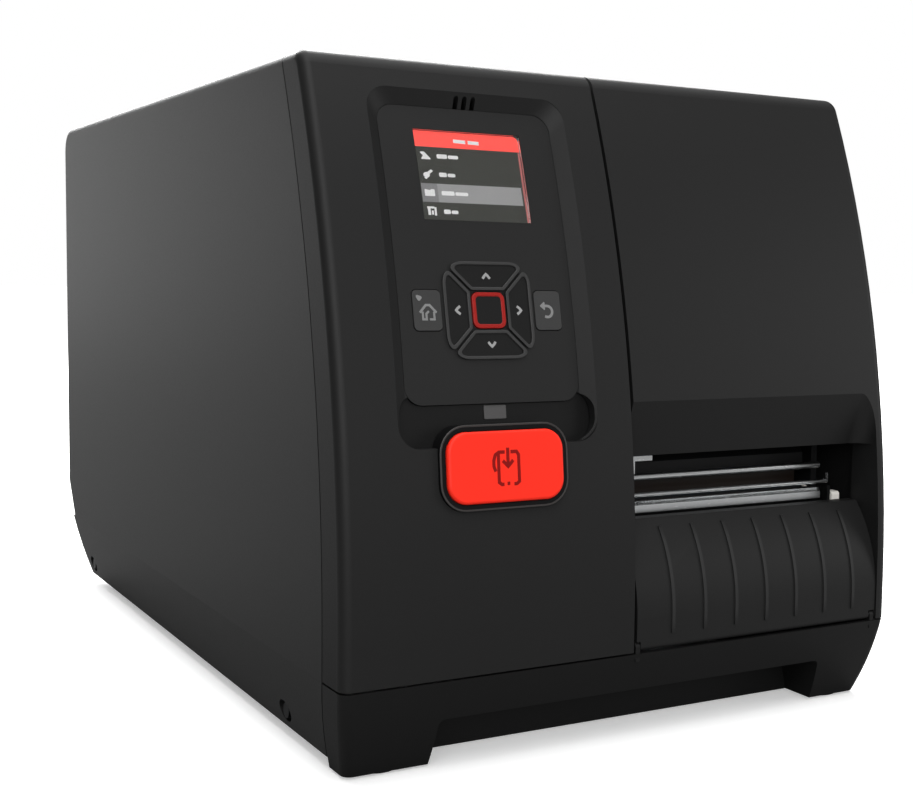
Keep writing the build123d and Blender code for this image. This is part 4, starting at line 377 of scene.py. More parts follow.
wear = {  # finish: the CAD nodes that have it
    "absCover": ["side_cover", "media_cover"],
    "absBase": ["base_tray"],
    "absFrontPanel": ["front_panel"],
    "absFrontDoor": ["front_door"],
    "absInnerParts": ["print_switch", "power_inlet", "power_switch", "label_deck", "label_sensor",
                      "supply_spindle", "takeup_spindle", "spindle_clutches", "roll_hanger"],
    "absRedButton": ["print_button"],
    "absButtonRing": ["button_ring", "power_rocker"],
    "naturalRubber": ["rubber_feet", "keypad_mat"],
    "blackOxideSteel": ["cover_screws", "drive_motor"],
    "smokedPolycarbonate": ["media_window"],
    "polyesterFilm": ["control_plate"],
    "displayGlass": ["display_window"],
    "powderCoat": ["display_module", "rear_panel", "print_frame", "head_carriage"],
    "solderMask": ["keypad_board", "main_board"],
    "siliconeKey": ["key_up", "key_left", "key_down", "key_right"],
    "redKeyEdge": ["key_select"],
    "siliconeKeyGrey": ["key_home", "key_back"],
    "lightLens": ["status_light"],
    "groundSteel": ["inlet_pins", "hinge_pins", "tear_bar", "steel_rods", "platen_shaft", "motor_pinion",
                    "guide_roller"],
    "tinPlatedShell": ["rear_ports"],
    "castAluminium": ["centre_wall"],
    "zincPlatedSteel": ["hinge_brackets", "power_supply", "fasteners"],
    "whiteNylon": ["latch_block", "platen_bearings"],
    "siliconePlaten": ["platen_roller"],
    "gearAcetal": ["platen_gear"],
    "glazedCeramic": ["thermal_head"],
    "bluePolycarbonate": ["head_lever", "edge_guide", "roll_guide"],
}
for look, names in wear.items():
    for name in names:
        materials = nodes[name].data.materials
        if not materials:
            materials.append(finish[look])
        for i in range(len(materials)):
            materials[i] = finish[look]
print("finishes put on", sum(len(names) for names in wear.values()), "of", len(nodes), "nodes")


mitreLimit = 0.4


# flat outlines are drawn in millimetres, then set into a frame whose third axis points out of the surface
def rounded(corners, radii, steps=5):
    # closed outline through the corners, each rounded on its own radius
    outline = []
    for i, (corner, radius) in enumerate(zip(corners, radii)):
        here = Vector(corner)
        if radius <= 0:
            outline.append(here)
            continue
        back = (Vector(corners[i - 1]) - here).normalized()
        ahead = (Vector(corners[(i + 1) % len(corners)]) - here).normalized()
        half = math.acos(max(-1.0, min(1.0, back.dot(ahead)))) / 2
        middle = here + (back + ahead).normalized() * radius / math.sin(half)
        start = here + back * radius / math.tan(half) - middle
        end = here + ahead * radius / math.tan(half) - middle
        sweep = math.atan2(start.x * end.y - start.y * end.x, start.dot(end))
        for k in range(steps + 1):
            turn = sweep * k / steps
            outline.append(middle + Vector((start.x * math.cos(turn) - start.y * math.sin(turn),
                                            start.x * math.sin(turn) + start.y * math.cos(turn))))
    return outline


def plate(width, height, radius, centre=(0, 0), steps=5):
    x, y = centre
    w, h = width / 2, height / 2
    return rounded([(x - w, y - h), (x + w, y - h), (x + w, y + h), (x - w, y + h)], [radius] * 4, steps)


def disc(radius, centre=(0, 0), steps=24):
    return [Vector((centre[0] + radius * math.cos(2 * math.pi * k / steps),
                    centre[1] + radius * math.sin(2 * math.pi * k / steps))) for k in range(steps)]


def stroke(points, width):
    # outline of a pen stroke of even width along open points, its mitres kept short at sharp bends
    points = [Vector(p) for p in points]
    left, right = [], []
    for i, here in enumerate(points):
        back = (here - points[i - 1]).normalized() if i > 0 else None
        ahead = (points[i + 1] - here).normalized() if i < len(points) - 1 else None
        if back is None or ahead is None:
            along = ahead or back
            stretch = 1.0
        else:
            along = (back + ahead).normalized()
            stretch = 1 / max(along.dot(ahead), mitreLimit)
        side = Vector((-along.y, along.x)) * width / 2 * stretch
        left.append(here + side)
        right.append(here - side)
    return right + left[::-1]


def addRing(mesh, outline, level, place):
    return [mesh.verts.new(place @ Vector((x * mm, y * mm, level * mm))) for x, y in outline]


def joinRings(mesh, rings):
    # side faces between each ring of vertices and the next
    faces = []
    for near, far in zip(rings, rings[1:]):
        for i in range(len(near)):
            j = (i + 1) % len(near)
            faces.append(mesh.faces.new((near[i], near[j], far[j], far[i])))
    return faces


def addPrism(mesh, outline, low, high, place, slot=0):
    # closed flat body over an outline
    rings = [addRing(mesh, outline, level, place) for level in (low, high)]
    faces = [mesh.faces.new(rings[1]), mesh.faces.new(rings[0][::-1])] + joinRings(mesh, rings)
    for face in faces:
        face.material_index = slot


def addBand(mesh, outer, inner, section, place):
    # closed rim between two outlines; the section gives (share of the way inwards, level) all round it
    rings = [addRing(mesh, [Vector(a).lerp(Vector(b), share) for a, b in zip(outer, inner)], level, place)
             for share, level in section]
    joinRings(mesh, rings + rings[:1])


def addObject(name, data):
    item = bpy.data.objects.new(name, data)
    bpy.context.scene.collection.objects.link(item)
    return item


def meshData(name, mesh):
    # keeps an edited mesh, with its faces turned outwards
    bmesh.ops.recalc_face_normals(mesh, faces=mesh.faces)
    data = bpy.data.meshes.new(name)
    mesh.to_mesh(data)
    mesh.free()
    return data


def newPiece(name, mesh, looks, body):
    # mesh in world place, its object at the origin, riding on a CAD body
    data = meshData(name, mesh)
    for look in looks:
        data.materials.append(finish[look])
    piece = addObject(name, data)
    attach(piece, body)


# the front leans back on one large radius; the controls sit on planes that touch it
fascia = {"centre": -69.5, "front": -241.5, "radius": 595.0, "start": 62.0, "wellDepth": 4.5}


def facePlace(height, inset=0.0):
    reach = fascia["radius"] - inset
    rise = height - fascia["start"]
    lean = math.asin(rise / reach)
    across = Vector((1, 0, 0))
    up = Vector((0, math.sin(lean), math.cos(lean)))
    out = Vector((0, -math.cos(lean), math.sin(lean)))
    back = fascia["front"] + fascia["radius"] - math.sqrt(reach ** 2 - rise ** 2)
    foot = Vector((fascia["centre"], back, height))
    return Matrix.Translation(foot * mm) @ Matrix((across, up, out)).transposed().to_4x4()


screen = {
    "height": 246.4, "level": -2.05, "layer": 0.04, "half": (25.0, 19.7), "corner": 0.4,
    "header": (12.7, 19.7), "headerCorners": (0, 0, 2.6, 0.6), "titlePen": 1.6,
    "title": ([(-6.5, 15.9), (-0.8, 15.7)], [(0.4, 15.7), (5.6, 15.5)]),
    "scroll": (24.1, 25.0), "scrollCorner": 0.5, "scrollFoot": 0.4,
    "row": 8.15, "chosen": 2, "chosenSpan": (-24.2, -16.8, 23.2), "chosenCorner": 0.05,
    "iconPlace": -20.5, "iconScale": (1.0, 0.82),
    "bars": (10.4, 7.9, 12.8, 7.0), "barStart": -15.2, "barHigh": 1.9, "barGap": 0.4, "barCorner": 0.5,
    "barStep": 0.4, "barDrop": 0.1,
    "layers": ["litDark", "litRed", "litRedDim", "litGrey", "litCell", "litWhite"],
    "icons": (
        [rounded([(-2.6, 2.0), (-0.4, 2.2), (2.6, -1.9), (-2.2, -1.9), (-1.0, 0.2)], [0.3] * 5, 2)],
        [disc(1.5, (-0.5, -0.4), 12), stroke([(0.2, 0.4), (2.2, 2.2)], 1.3),
         stroke([(-0.6, -1.4), (-1.2, -2.4)], 1.2)],
        [rounded([(-2.4, -1.8), (2.2, -1.8), (2.2, 1.9), (0.6, 1.9), (0.1, 1.3), (-2.4, 1.9)],
                 [0.3] * 6, 2)],
        [stroke([(-1.4, -2.0), (-1.4, 2.0)], 1.2), stroke([(-2.2, 2.0), (1.0, 2.0)], 1.0),
         stroke([(1.4, -2.2), (1.5, 2.2)], 0.9), stroke([(0.1, -1.8), (0.1, 0.4)], 0.8)],
    ),
}
screenPlace = facePlace(screen["height"], fascia["wellDepth"])
picture = bmesh.new()


def drawOnScreen(outline, look, depth):
    # depth 0 is the ground, 1 the fields on it and 2 the marks in front of those
    low = screen["level"] + screen["layer"] * (depth / 2 if depth else -0.5)
    high = screen["level"] + screen["layer"] * (depth + 1)
    addPrism(picture, outline, low, high, screenPlace, screen["layers"].index(look))


halfWide, halfHigh = screen["half"]
headLow, headHigh = screen["header"]
drawOnScreen(plate(2 * halfWide, 2 * halfHigh, screen["corner"]), "litDark", 0)
header = [(-halfWide, headLow), (halfWide, headLow), (halfWide, headHigh), (-halfWide, headHigh)]
drawOnScreen(rounded(header, screen["headerCorners"]), "litRed", 1)
for points in screen["title"]:
    drawOnScreen(stroke(points, screen["titlePen"]), "litWhite", 2)
scrollLeft, scrollRight = screen["scroll"]
scrollLength = headLow + halfHigh - screen["scrollFoot"]
drawOnScreen(plate(scrollRight - scrollLeft, scrollLength, screen["scrollCorner"],
                   ((scrollLeft + scrollRight) / 2, (headLow - halfHigh) / 2)), "litRedDim", 1)
for row, shapes in enumerate(screen["icons"]):
    middle = headLow - (row + 0.5) * screen["row"]
    if row == screen["chosen"]:
        start, split, end = screen["chosenSpan"]
        for left, right, look in ((start, split, "litCell"), (split, end, "litGrey")):
            drawOnScreen(plate(right - left, screen["row"], screen["chosenCorner"],
                               ((left + right) / 2, middle)), look, 1)
    wide, high = screen["iconScale"]
    for shape in shapes:
        drawOnScreen([(x * wide + screen["iconPlace"], y * high + middle) for x, y in shape], "litWhite", 2)
    half = screen["bars"][row] / 2
    for part in range(2):
        length = half - screen["barGap"]
        start = screen["barStart"] + part * half
        drawOnScreen(plate(length, screen["barHigh"] - screen["barStep"] * part, screen["barCorner"],
                           (start + length / 2, middle - screen["barDrop"] * part), 2), "litWhite", 2)
newPiece("screenPicture", picture, screen["layers"], "chassis")
print("screen picture drawn")


keypad = {
    "height": 190.3, "face": 0.35, "sunk": 0.05, "inner": 9.6, "halfIn": 7.2, "reach": 19.4,
    "padRound": 8.7, "padBends": (0.45, 0.65, 0.82, 1.0), "keyRound": 1.2, "tightest": 0.25, "widest": 1.7,
    "lip": 1.15, "lipFoot": 0.15,
    # (share of the way inwards, level): the lip stands on the key's face and reaches over the film, high
    # enough to clear it when the key is pressed
    "lipSection": ((0, 0.63), (0, 0.78), (0.12, 0.88), (0.8, 0.88), (1, 0.75), (1, 0.3), (0.9, 0.3),
                   (0.9, 0.63)),
    # its bends are shares of half its width and of its rise
    "chevron": {"middle": 14.3, "half": 1.7, "rise": 1.9, "pen": 1.1, "proud": 0.06,
                "bends": ((-1, -0.5), (-0.45, 0.15), (0, 0.5), (0.45, 0.15), (1, -0.5))},
    "select": {"width": 15.2, "round": 3.0, "ring": 1.75, "innerRound": 1.6, "proud": 0.05},
    "ringSection": ((0.01, 0.25), (0.01, 0.49), (0.2, 0.63), (0.8, 0.63), (0.98, 0.462), (0.98, 0.25)),
}
keyPlace = facePlace(keypad["height"], fascia["wellDepth"])
markFoot = keypad["face"] - keypad["sunk"]


def wedgeOutline(inset):
    # a direction key drawn inwards by inset: sides at 45 degrees, outer corners on the pad's radius
    low = keypad["inner"] + inset
    side = keypad["inner"] - keypad["halfIn"] + inset * math.sqrt(2)
    arc = keypad["padRound"] - inset
    centre = keypad["reach"] - keypad["padRound"]
    half = math.sqrt(2 * arc ** 2 - side ** 2)
    corner = (centre + (half - side) / 2, centre + (half + side) / 2)
    first = math.atan2(corner[1] - centre, corner[0] - centre)
    bends = [first + (math.pi / 2 - first) * share for share in keypad["padBends"]]
    rightArc = [(centre + arc * math.cos(a), centre + arc * math.sin(a)) for a in bends]
    right = [(low - side, low), corner] + rightArc
    left = [(-x, y) for x, y in right[::-1]]
    small = min(max(keypad["keyRound"] - inset, keypad["tightest"]), keypad["widest"])
    radii = [small, small] + [0] * (len(right) + len(left) - 4) + [small, small]
    return rounded(right + left, radii, 4)


chevron = keypad["chevron"]
tips = [(across * chevron["half"], chevron["middle"] + lift * chevron["rise"])
        for across, lift in chevron["bends"]]
outerEdge, lipEdge = wedgeOutline(-keypad["lip"]), wedgeOutline(keypad["lipFoot"])
for key, turn in (("up", 0), ("left", 90), ("down", 180), ("right", 270)):
    place = keyPlace @ Matrix.Rotation(math.radians(turn), 4, "Z")
    # each key's raised lip is real, and its lighter grey is a painted highlight of the light its bevel
    # catches
    edge = bmesh.new()
    addBand(edge, outerEdge, lipEdge, keypad["lipSection"], place)
    newPiece(f"{key}KeyEdge", edge, ["siliconeKeyEdge"], f"key_{key}")
    mark = bmesh.new()
    addPrism(mark, stroke(tips, chevron["pen"]), markFoot, keypad["face"] + chevron["proud"], place)
    newPiece(f"{key}KeyChevron", mark, ["paleInk"], f"key_{key}")

select = keypad["select"]
innerWidth = select["width"] - 2 * select["ring"]
innerEdge = plate(innerWidth, innerWidth, select["innerRound"])
pad = bmesh.new()
addPrism(pad, innerEdge, markFoot, keypad["face"] + select["proud"], keyPlace)
newPiece("selectKeyPad", pad, ["siliconeKey"], "key_select")
ring = bmesh.new()
addBand(ring, plate(select["width"], select["width"], select["round"]), innerEdge, keypad["ringSection"],
        keyPlace)
newPiece("selectKeyRing", ring, ["redKeyEdge"], "key_select")


inkStep = 0.012


def arcPoints(x, y, radius, start, end, steps=14):
    turns = [math.radians(start + (end - start) * i / steps) for i in range(steps + 1)]
    return [(x + radius * math.cos(a), y + radius * math.sin(a)) for a in turns]


def printMark(shapes, foot, crest, place):
    # ink laid on in steps, each a little prouder than the last, so that none share a face
    mark = bmesh.new()
    for count, shape in enumerate(shapes):
        addPrism(mark, shape, foot, crest + inkStep * count, place)
    return mark


sideIcons = {
    "home": {
        "place": -28.0, "proud": 0.05,
        "strokes": [
            ([(-3.7, -1.0), (-0.9, 2.1), (0.8, 2.1), (3.7, -1.0)], 1.0),
            ([(-2.5, -0.6), (-2.5, -3.8), (-0.9, -3.8), (-0.9, -1.5), (0.3, -0.4)], 0.9),
            ([(0.5, -3.8), (2.6, -3.8), (2.6, -0.6)], 0.9),
        ],
        "fills": [rounded([(-5.8, 6.8), (-1.9, 5.5), (-3.8, 3.4)], [0.6] * 3, 2)],
    },
    "back": {
        "place": 27.9, "proud": 0.05,
        "strokes": [
            (arcPoints(0.1, -0.5, 2.4, -122, 90) + [(-1.8, 1.9)], 1.15),
        ],
        "fills": [rounded([(-3.4, 1.9), (-0.9, 4.0), (-0.9, -0.2)], [0.3] * 3, 2)],
    },
}
for key, icon in sideIcons.items():
    shapes = [stroke(points, pen) for points, pen in icon["strokes"]] + icon["fills"]
    shapes = [[(x + icon["place"], y) for x, y in shape] for shape in shapes]
    mark = printMark(shapes, markFoot, keypad["face"] + icon["proud"], keyPlace)
    newPiece(f"{key}KeyIcon", mark, ["greyInk"], f"key_{key}")
print("keypad drawn")


button = {
    "height": 126.8, "face": 3.4, "sunk": 0.05, "proud": 0.04, "pen": 1.4,
    "ring": (59.8, 35.2, 11.5), "ringEdge": 0.9,
    "ringSection": ((0.02, 1.4), (0.02, 1.65), (0.3, 1.82), (0.98, 1.74), (0.98, 1.4)),
    "strokes": [
        [(-1.2, 5.9), (-4.0, 5.9), (-5.6, 4.9), (-6.4, 2.6), (-6.4, 0.2), (-5.6, -1.9)],
        [(-4.2, 5.6), (-4.2, -6.4), (-3.0, -7.3), (-1.9, -7.3)],
        [(1.5, 5.9), (4.2, 5.9), (5.2, 4.6), (5.2, -6.4), (4.0, -7.3), (2.8, -7.3)],
        [(0.2, 7.6), (0.2, 0.4)],
        [(-2.2, 2.4), (0.2, 0.0), (2.6, 2.4)],
        [(-0.4, -7.0), (0.8, -7.0)],
    ],
}
buttonPlace = facePlace(button["height"])
mark = printMark([stroke(points, button["pen"]) for points in button["strokes"]],
                 button["face"] - button["sunk"], button["face"] + button["proud"], buttonPlace)
newPiece("printButtonIcon", mark, ["darkRedInk"], "print_button")
# painted highlight: a thin lighter band laid along the ring's outer edge, standing in for light on its
# rounded edge
wide, high, bend = button["ring"]
edge = button["ringEdge"]
ring = bmesh.new()
outer = plate(wide, high, bend, steps=8)
inner = plate(wide - 2 * edge, high - 2 * edge, bend - edge, steps=8)
addBand(ring, outer, inner, button["ringSection"], buttonPlace)
newPiece("buttonRingEdge", ring, ["absRingEdge"], "chassis")


# on and off marks, one on each face of the rocker, given as (y, z) from its pivot
rocker = {"pivot": (-100.0, 232.1, 143.0), "upper": ((2.377, 0.334), (2.538, 9.243)),
          "lower": ((4.988, -8.185), (2.377, 0.334)), "sunk": 0.04, "proud": 0.05,
          "bar": (0.9, 4.2, 0.2), "circle": (2.0, 1.2)}
mark = bmesh.new()
for side in ("upper", "lower"):
    (lowY, lowZ), (highY, highZ) = rocker[side]
    up = Vector((0, highY - lowY, highZ - lowZ)).normalized()
    across = Vector((-1, 0, 0))
    out = across.cross(up)
    middle = Vector(rocker["pivot"]) + Vector((0, (lowY + highY) / 2, (lowZ + highZ) / 2))
    place = Matrix.Translation(middle * mm) @ Matrix((across, up, out)).transposed().to_4x4()
    foot, crest = -rocker["sunk"], rocker["proud"]
    if side == "upper":
        addPrism(mark, plate(*rocker["bar"]), foot, crest, place)
    else:
        outer, inner = (disc(radius) for radius in rocker["circle"])
        addBand(mark, outer, inner, ((0, foot), (0, crest), (1, crest), (1, foot)), place)
newPiece("rockerMarks", mark, ["whiteInk"], "power_rocker")
print("button and rocker marked")


# repeats: one tree sets a body along a row, the other on given spots with a seeded turn
def groupTree(name, sockets):
    tree = bpy.data.node_groups.new(name, "GeometryNodeTree")
    for label, kind in sockets:
        tree.interface.new_socket(label, in_out="INPUT", socket_type=kind)
    tree.interface.new_socket("Mesh", in_out="OUTPUT", socket_type="NodeSocketGeometry")
    return tree, tree.nodes.new("NodeGroupInput"), tree.nodes.new("NodeGroupOutput")


def finishTree(tree, start, end, source, output):
    solid = addNode(tree, "GeometryNodeRealizeInstances", links={"Geometry": (source, output)})
    painted = addNode(tree, "GeometryNodeSetMaterial", links={"Geometry": (solid, "Geometry"),
                                                              "Material": (start, "Finish")})
    joinInputs(tree, end, {"Mesh": (painted, "Geometry")})


rowTree, rowStart, rowEnd = groupTree("rowOfBodies", [
    ("Geometry", "NodeSocketGeometry"), ("Body", "NodeSocketObject"), ("Count", "NodeSocketInt"),
    ("First", "NodeSocketVector"), ("Step", "NodeSocketVector"), ("Finish", "NodeSocketMaterial")])
rowBody = addNode(rowTree, "GeometryNodeObjectInfo", links={"Object": (rowStart, "Body")})
rowLine = addNode(rowTree, "GeometryNodeMeshLine", {"mode": "OFFSET"},
                  {"Count": (rowStart, "Count"), "Start Location": (rowStart, "First"),
                   "Offset": (rowStart, "Step")})
rowSet = addNode(rowTree, "GeometryNodeInstanceOnPoints", links={"Points": (rowLine, "Mesh"),
                                                                 "Instance": (rowBody, "Geometry")})
finishTree(rowTree, rowStart, rowEnd, rowSet, "Instances")

spotTree, spotStart, spotEnd = groupTree("bodiesOnSpots", [
    ("Geometry", "NodeSocketGeometry"), ("Body", "NodeSocketObject"), ("Axis", "NodeSocketVector"),
    ("Seed", "NodeSocketInt"), ("Finish", "NodeSocketMaterial")])
spotBody = addNode(spotTree, "GeometryNodeObjectInfo", links={"Object": (spotStart, "Body")})
spotAngle = addNode(spotTree, "FunctionNodeRandomValue", {"data_type": "FLOAT", 3: 2 * math.pi},
                    {"Seed": (spotStart, "Seed")})
spotTurn = addNode(spotTree, "FunctionNodeAxisAngleToRotation", links={"Axis": (spotStart, "Axis"),
                                                                       "Angle": (spotAngle, 1)})
spotSet = addNode(spotTree, "GeometryNodeInstanceOnPoints", links={"Points": (spotStart, "Geometry"),
                                                                   "Instance": (spotBody, "Geometry"),
                                                                   "Rotation": (spotTurn, "Rotation")})
finishTree(spotTree, spotStart, spotEnd, spotSet, "Instances")


def growPiece(name, tree, body, values, look, ride, spots=()):
    # runs a tree on a carrier mesh and keeps its result as a plain mesh
    seed = bpy.data.meshes.new(name + "Seed")
    seed.from_pydata([Vector(spot) * mm for spot in spots], [], [])
    carrier = addObject(name + "Carrier", seed)
    source = addObject(name + "Body", meshData(name + "Body", body))
    modifier = carrier.modifiers.new("grow", "NODES")
    modifier.node_group = tree
    given = {"Body": source, "Finish": finish[look], **values}
    for socket in tree.interface.items_tree:
        if socket.in_out == "INPUT" and socket.name in given:
            modifier[socket.identifier] = given[socket.name]
    bpy.context.view_layer.update()
    grown = bpy.data.meshes.new_from_object(carrier.evaluated_get(bpy.context.evaluated_depsgraph_get()))
    for item in (carrier, source):
        bpy.data.objects.remove(item)
    grown.name = name
    piece = addObject(name, grown)
    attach(piece, ride)
    print("grown:", name, len(grown.polygons), "faces")


def rowValues(look):
    return {"Count": look["count"], "First": Vector(look["first"]) * mm, "Step": Vector(look["step"]) * mm}


identity = Matrix.Identity(4)
toRear = Matrix.Rotation(math.radians(-90), 4, "X")
toRight = Matrix.Rotation(math.radians(90), 4, "Y")
rearAxis = Vector((0, 1, 0))

# teeth ground into the tear bar's front bevel, each a ridge that rises just behind its lower end
teeth = {"count": 78, "first": (1.6, -216.2, 102.6), "step": (1.5, 0, 0), "width": 1.3, "length": 1.7,
         "height": 0.45, "sunk": 0.15, "crestStart": 0.75}
tooth = bmesh.new()
halfWidth, halfLength = teeth["width"] / 2, teeth["length"] / 2
slope = math.sqrt(0.5)
along = Vector((0, slope, slope))
out = Vector((0, -slope, slope))
feet = [Vector((x, 0, 0)) + along * s - out * teeth["sunk"]
        for s in (-halfLength, halfLength) for x in (-halfWidth, halfWidth)]
crest = [along * s + out * teeth["height"] for s in (-halfLength * teeth["crestStart"], halfLength)]
points = [tooth.verts.new(point * mm) for point in feet + crest]
for corners in ((0, 1, 3, 2), (0, 1, 4), (2, 3, 5), (0, 2, 5, 4), (1, 3, 5, 4)):
    tooth.faces.new([points[i] for i in corners])
growPiece("tearTeeth", rowTree, tooth, rowValues(teeth), "groundSteel", "chassis")


# sockets: gold contacts inside the tinned shells
contacts = {
    "network": {"count": 8, "first": (-38.6, 228.5, 146.6), "step": (1.27, 0, 0), "size": (0.5, 12.0, 0.2),
                "thick": 0.35},
    "usb": {"count": 4, "first": (-33.6, 229.5, 118.5), "step": (1.0, 0, 0), "size": (0.6, 9.0, 0.2),
            "thick": 0.3},
}
for label, look in contacts.items():
    strip = bmesh.new()
    addPrism(strip, plate(*look["size"], steps=2), -look["thick"] / 2, look["thick"] / 2, identity)
    growPiece(f"{label}Contacts", rowTree, strip, rowValues(look), "goldPlating", "chassis")

# serial socket's pins, each a shank and a thinner tip: (radius, from, to) along the pin
serial = {"rows": ((-33.7, 5), (-30.9, 4)), "pitch": 2.77, "height": 81.0, "depth": 226.0, "seed": 3,
          "pin": ((0.5, -0.4, 7.0), (0.3, 6.9, 7.5))}
pinSpots = [(x, serial["depth"], serial["height"] + (i - (count - 1) / 2) * serial["pitch"])
            for x, count in serial["rows"] for i in range(count)]
pin = bmesh.new()
for radius, start, end in serial["pin"]:
    addPrism(pin, disc(radius, steps=10), start, end, toRear)
growPiece("serialPins", spotTree, pin, {"Axis": rearAxis, "Seed": serial["seed"]}, "goldPlating", "chassis",
          pinSpots)


# pan heads turned on a lathe, with a six-lobed recess
rearScrews = {
    "face": 234.5, "steps": 36, "lobes": 6, "lobeDepth": 0.11, "seed": 11,
    # (radius, level, lobed) from the foot over the crown and down into the recess
    "section": ((3.1, -0.4, 0), (3.1, 0.595, 0), (2.542, 1.36, 0), (1.922, 1.7, 0), (1.512, 1.7, 1),
                (1.35, 1.6, 1), (1.242, 0.6, 1)),
    "spots": [(x, z) for x in (-122.0, -18.0) for z in (272.0, 168.0, 72.0)]
    + [(x, z) for x in (8.0, 122.0) for z in (262.0, 168.0, 100.0)],
}
screw = bmesh.new()
turns = [2 * math.pi * k / rearScrews["steps"] for k in range(rearScrews["steps"])]
rings = []
for radius, level, lobed in rearScrews["section"]:
    depth = rearScrews["lobeDepth"] * lobed
    reaches = [radius * (1 + depth * math.cos(rearScrews["lobes"] * turn)) for turn in turns]
    outline = [(reach * math.cos(turn), reach * math.sin(turn)) for reach, turn in zip(reaches, turns)]
    rings.append(addRing(screw, outline, level, toRear))
joinRings(screw, rings)
screw.faces.new(rings[0][::-1])
screw.faces.new(rings[-1])
growPiece("rearScrews", spotTree, screw, {"Axis": rearAxis, "Seed": rearScrews["seed"]}, "blackOxideSteel",
          "chassis", [(x, rearScrews["face"], z) for x, z in rearScrews["spots"]])

# grip ribs across the head lever's end
leverRibs = {"count": 6, "first": (131.0, -175.5, 177.5), "step": (0, 0, 1.9), "size": (0.9, 8.4, 0.4),
             "sunk": 0.2, "height": 0.5}
rib = bmesh.new()
addPrism(rib, plate(*leverRibs["size"], steps=3), -leverRibs["sunk"], leverRibs["height"], toRight)
growPiece("leverRibs", rowTree, rib, rowValues(leverRibs), "bluePolycarbonate", "head_lever")

# width scale printed on the label deck, a tick every 5 mm
scale = {"count": 21, "first": (10.0, -186.0, 101.0), "step": (5.0, 0, 0), "size": (0.5, 4.5, 0.1),
         "proud": 0.05}
tick = bmesh.new()
addPrism(tick, plate(*scale["size"], steps=1), -scale["proud"], scale["proud"], identity)
growPiece("deckScale", rowTree, tick, rowValues(scale), "whiteInk", "chassis")


studio = {
    "floor": 14.0, "floorColour": "#f4f4f4", "floorBounce": 0.26, "floorMottle": 0.01, "air": 0.2,
    "glowFrom": 0.4, "glowTo": 2.2, "glowNear": 0.35, "glowFar": 1.0,
    "lights": {  # place, point aimed at, width and height, power
        "rearLeftSoftbox": ((-0.55, 1.7, 0.32), (-0.14, 0.15, 0.2), (0.5, 0.5), 1.65),
        "leftFrontSoftbox": ((-1.2, -2.0, 0.9), (0, -0.2, 0.15), (1.2, 1.2), 19),
        "frontHighSoftbox": ((-0.6, -1.5, 2.1), (0, -0.2, 0.15), (1.4, 1.2), 20),
        "frontLowSoftbox": ((-0.3, -2.4, 0.6), (0, -0.2, 0.1), (1.4, 0.8), 10),
        "topSoftbox": ((0.1, 0.0, 2.4), (0, 0, 0), (2.6, 2.6), 48),
        "rearTopSoftbox": ((0.5, 1.7, 1.5), (0.05, -0.1, 0.28), (1.6, 0.8), 60),
        "rightSoftbox": ((1.9, -1.3, 0.6), (0.1, -0.1, 0.15), (0.9, 1.0), 9),
        "rearRightSoftbox": ((0.35, 2.6, 1.1), (0, 0.1, 0.15), (1.4, 1.0), 60),
    },
}

# pale seamless paper: it shines evenly to the lens, with less of its light left for the object's underside
floorMaterial, floorTree, floorShader, floorCoords = newMaterial("paleStudioFloor")
floorTone = addNode(floorTree, "ShaderNodeTexNoise", {"Scale": 2.5, "Detail": 1.0},
                    {"Vector": (floorCoords, "Object")})
floorTint = addNode(floorTree, "ShaderNodeMix",
                    {"data_type": "RGBA", 6: linear(studio["floorColour"], 1 - studio["floorMottle"]),
                     7: linear(studio["floorColour"], 1 + studio["floorMottle"])},
                    {0: (floorTone, "Fac")})
floorGlow = addNode(floorTree, "ShaderNodeMapRange",
                    {"From Min": studio["glowFrom"], "From Max": studio["glowTo"],
                     "To Min": studio["glowNear"], "To Max": studio["glowFar"]},
                    {"Value": lengthAfter(floorTree, floorCoords, [])})
joinInputs(floorTree, floorShader,
           {"Base Color": (floorTint, 2), "Emission Strength": (floorGlow, "Result")})
setSockets(floorShader, {"Roughness": 0.9, "Emission Color": (1, 1, 1, 1)})
floorRay = addNode(floorTree, "ShaderNodeLightPath")
floorDark = addNode(floorTree, "ShaderNodeBsdfDiffuse", {"Color": (studio["floorBounce"],) * 3 + (1,)})
floorPick = addNode(floorTree, "ShaderNodeMixShader", None,
                    {0: (floorRay, "Is Camera Ray"), 1: (floorDark, "BSDF"), 2: (floorShader, "BSDF")})
floorOut = next(node for node in floorTree.nodes if node.type == "OUTPUT_MATERIAL")
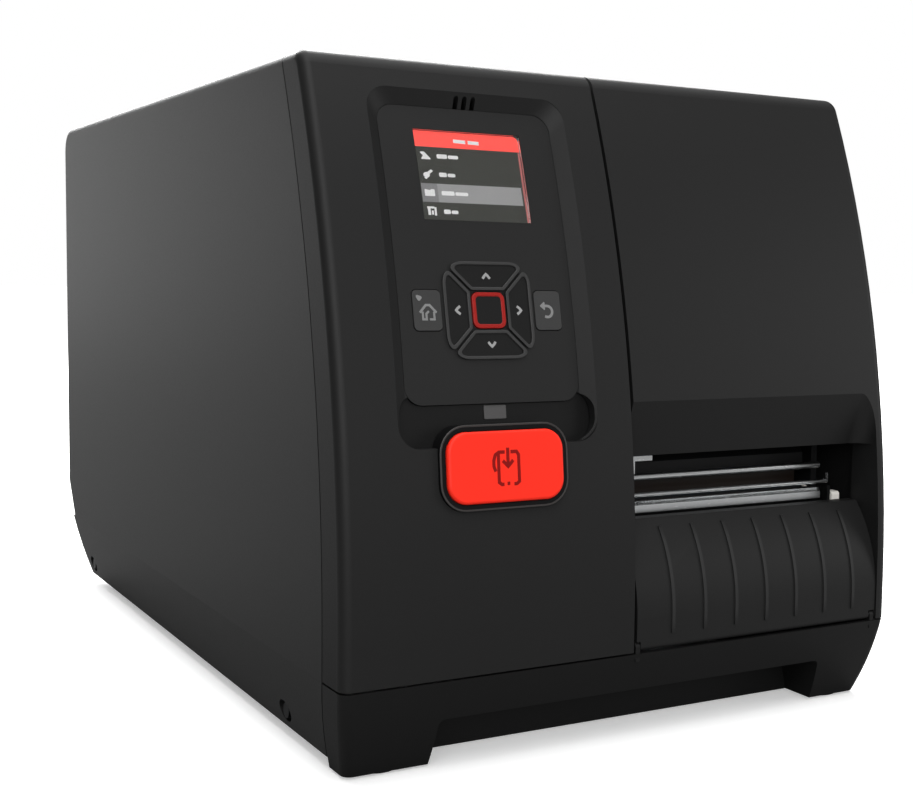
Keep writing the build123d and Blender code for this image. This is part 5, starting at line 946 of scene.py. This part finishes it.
joinInputs(floorTree, floorOut, {"Surface": (floorPick, "Shader")})

floorMesh = bpy.data.meshes.new("studioFloor")
side = studio["floor"]
floorMesh.from_pydata([(-side, -side, 0), (side, -side, 0), (side, side, 0), (-side, side, 0)], [],
                      [(0, 1, 2, 3)])
floorMesh.materials.append(floorMaterial)
floor = addObject("studioFloor", floorMesh)

for name, (place, aim, size, power) in studio["lights"].items():
    data = bpy.data.lights.new(name, "AREA")
    data.shape = "RECTANGLE"
    data.size, data.size_y = size
    data.energy = power
    light = addObject(name, data)
    light.location = place
    light.rotation_euler = (Vector(aim) - light.location).to_track_quat("-Z", "Y").to_euler()
    light.visible_camera = False

world = bpy.data.worlds.new("studioAir")
bpy.context.scene.world = world
world.use_nodes = True
airTree = world.node_tree
airTree.nodes.clear()
seen = addNode(airTree, "ShaderNodeLightPath")
backdrop = addNode(airTree, "ShaderNodeBackground", {"Color": (1, 1, 1, 1), "Strength": 1.0})
air = addNode(airTree, "ShaderNodeBackground", {"Color": (1, 1, 1, 1), "Strength": studio["air"]})
choice = addNode(airTree, "ShaderNodeMixShader", None,
                 {0: (seen, "Is Camera Ray"), 1: (air, "Background"), 2: (backdrop, "Background")})
addNode(airTree, "ShaderNodeOutputWorld", None, {"Surface": (choice, "Shader")})

view = {"place": (-0.352, -0.7565, 0.206), "yaw": 30.78, "pitch": -4.99, "roll": 0.95,
        "lens": 57.0, "sensor": 36, "shift": -0.1134, "nearest": 0.02}
cameraData = bpy.data.cameras.new("productCamera")
cameraData.lens = view["lens"]
cameraData.sensor_width = view["sensor"]
cameraData.shift_x = view["shift"]
cameraData.clip_start = view["nearest"]
camera = addObject("productCamera", cameraData)
camera.matrix_world = (
    Matrix.Translation(view["place"])
    @ Matrix.Rotation(math.radians(-view["yaw"]), 4, "Z")
    @ Matrix.Rotation(math.radians(90 + view["pitch"]), 4, "X")
    @ Matrix.Rotation(math.radians(view["roll"]), 4, "Z")
)
bpy.context.scene.camera = camera
bpy.context.scene.view_settings.view_transform = "Standard"
print("studio set")
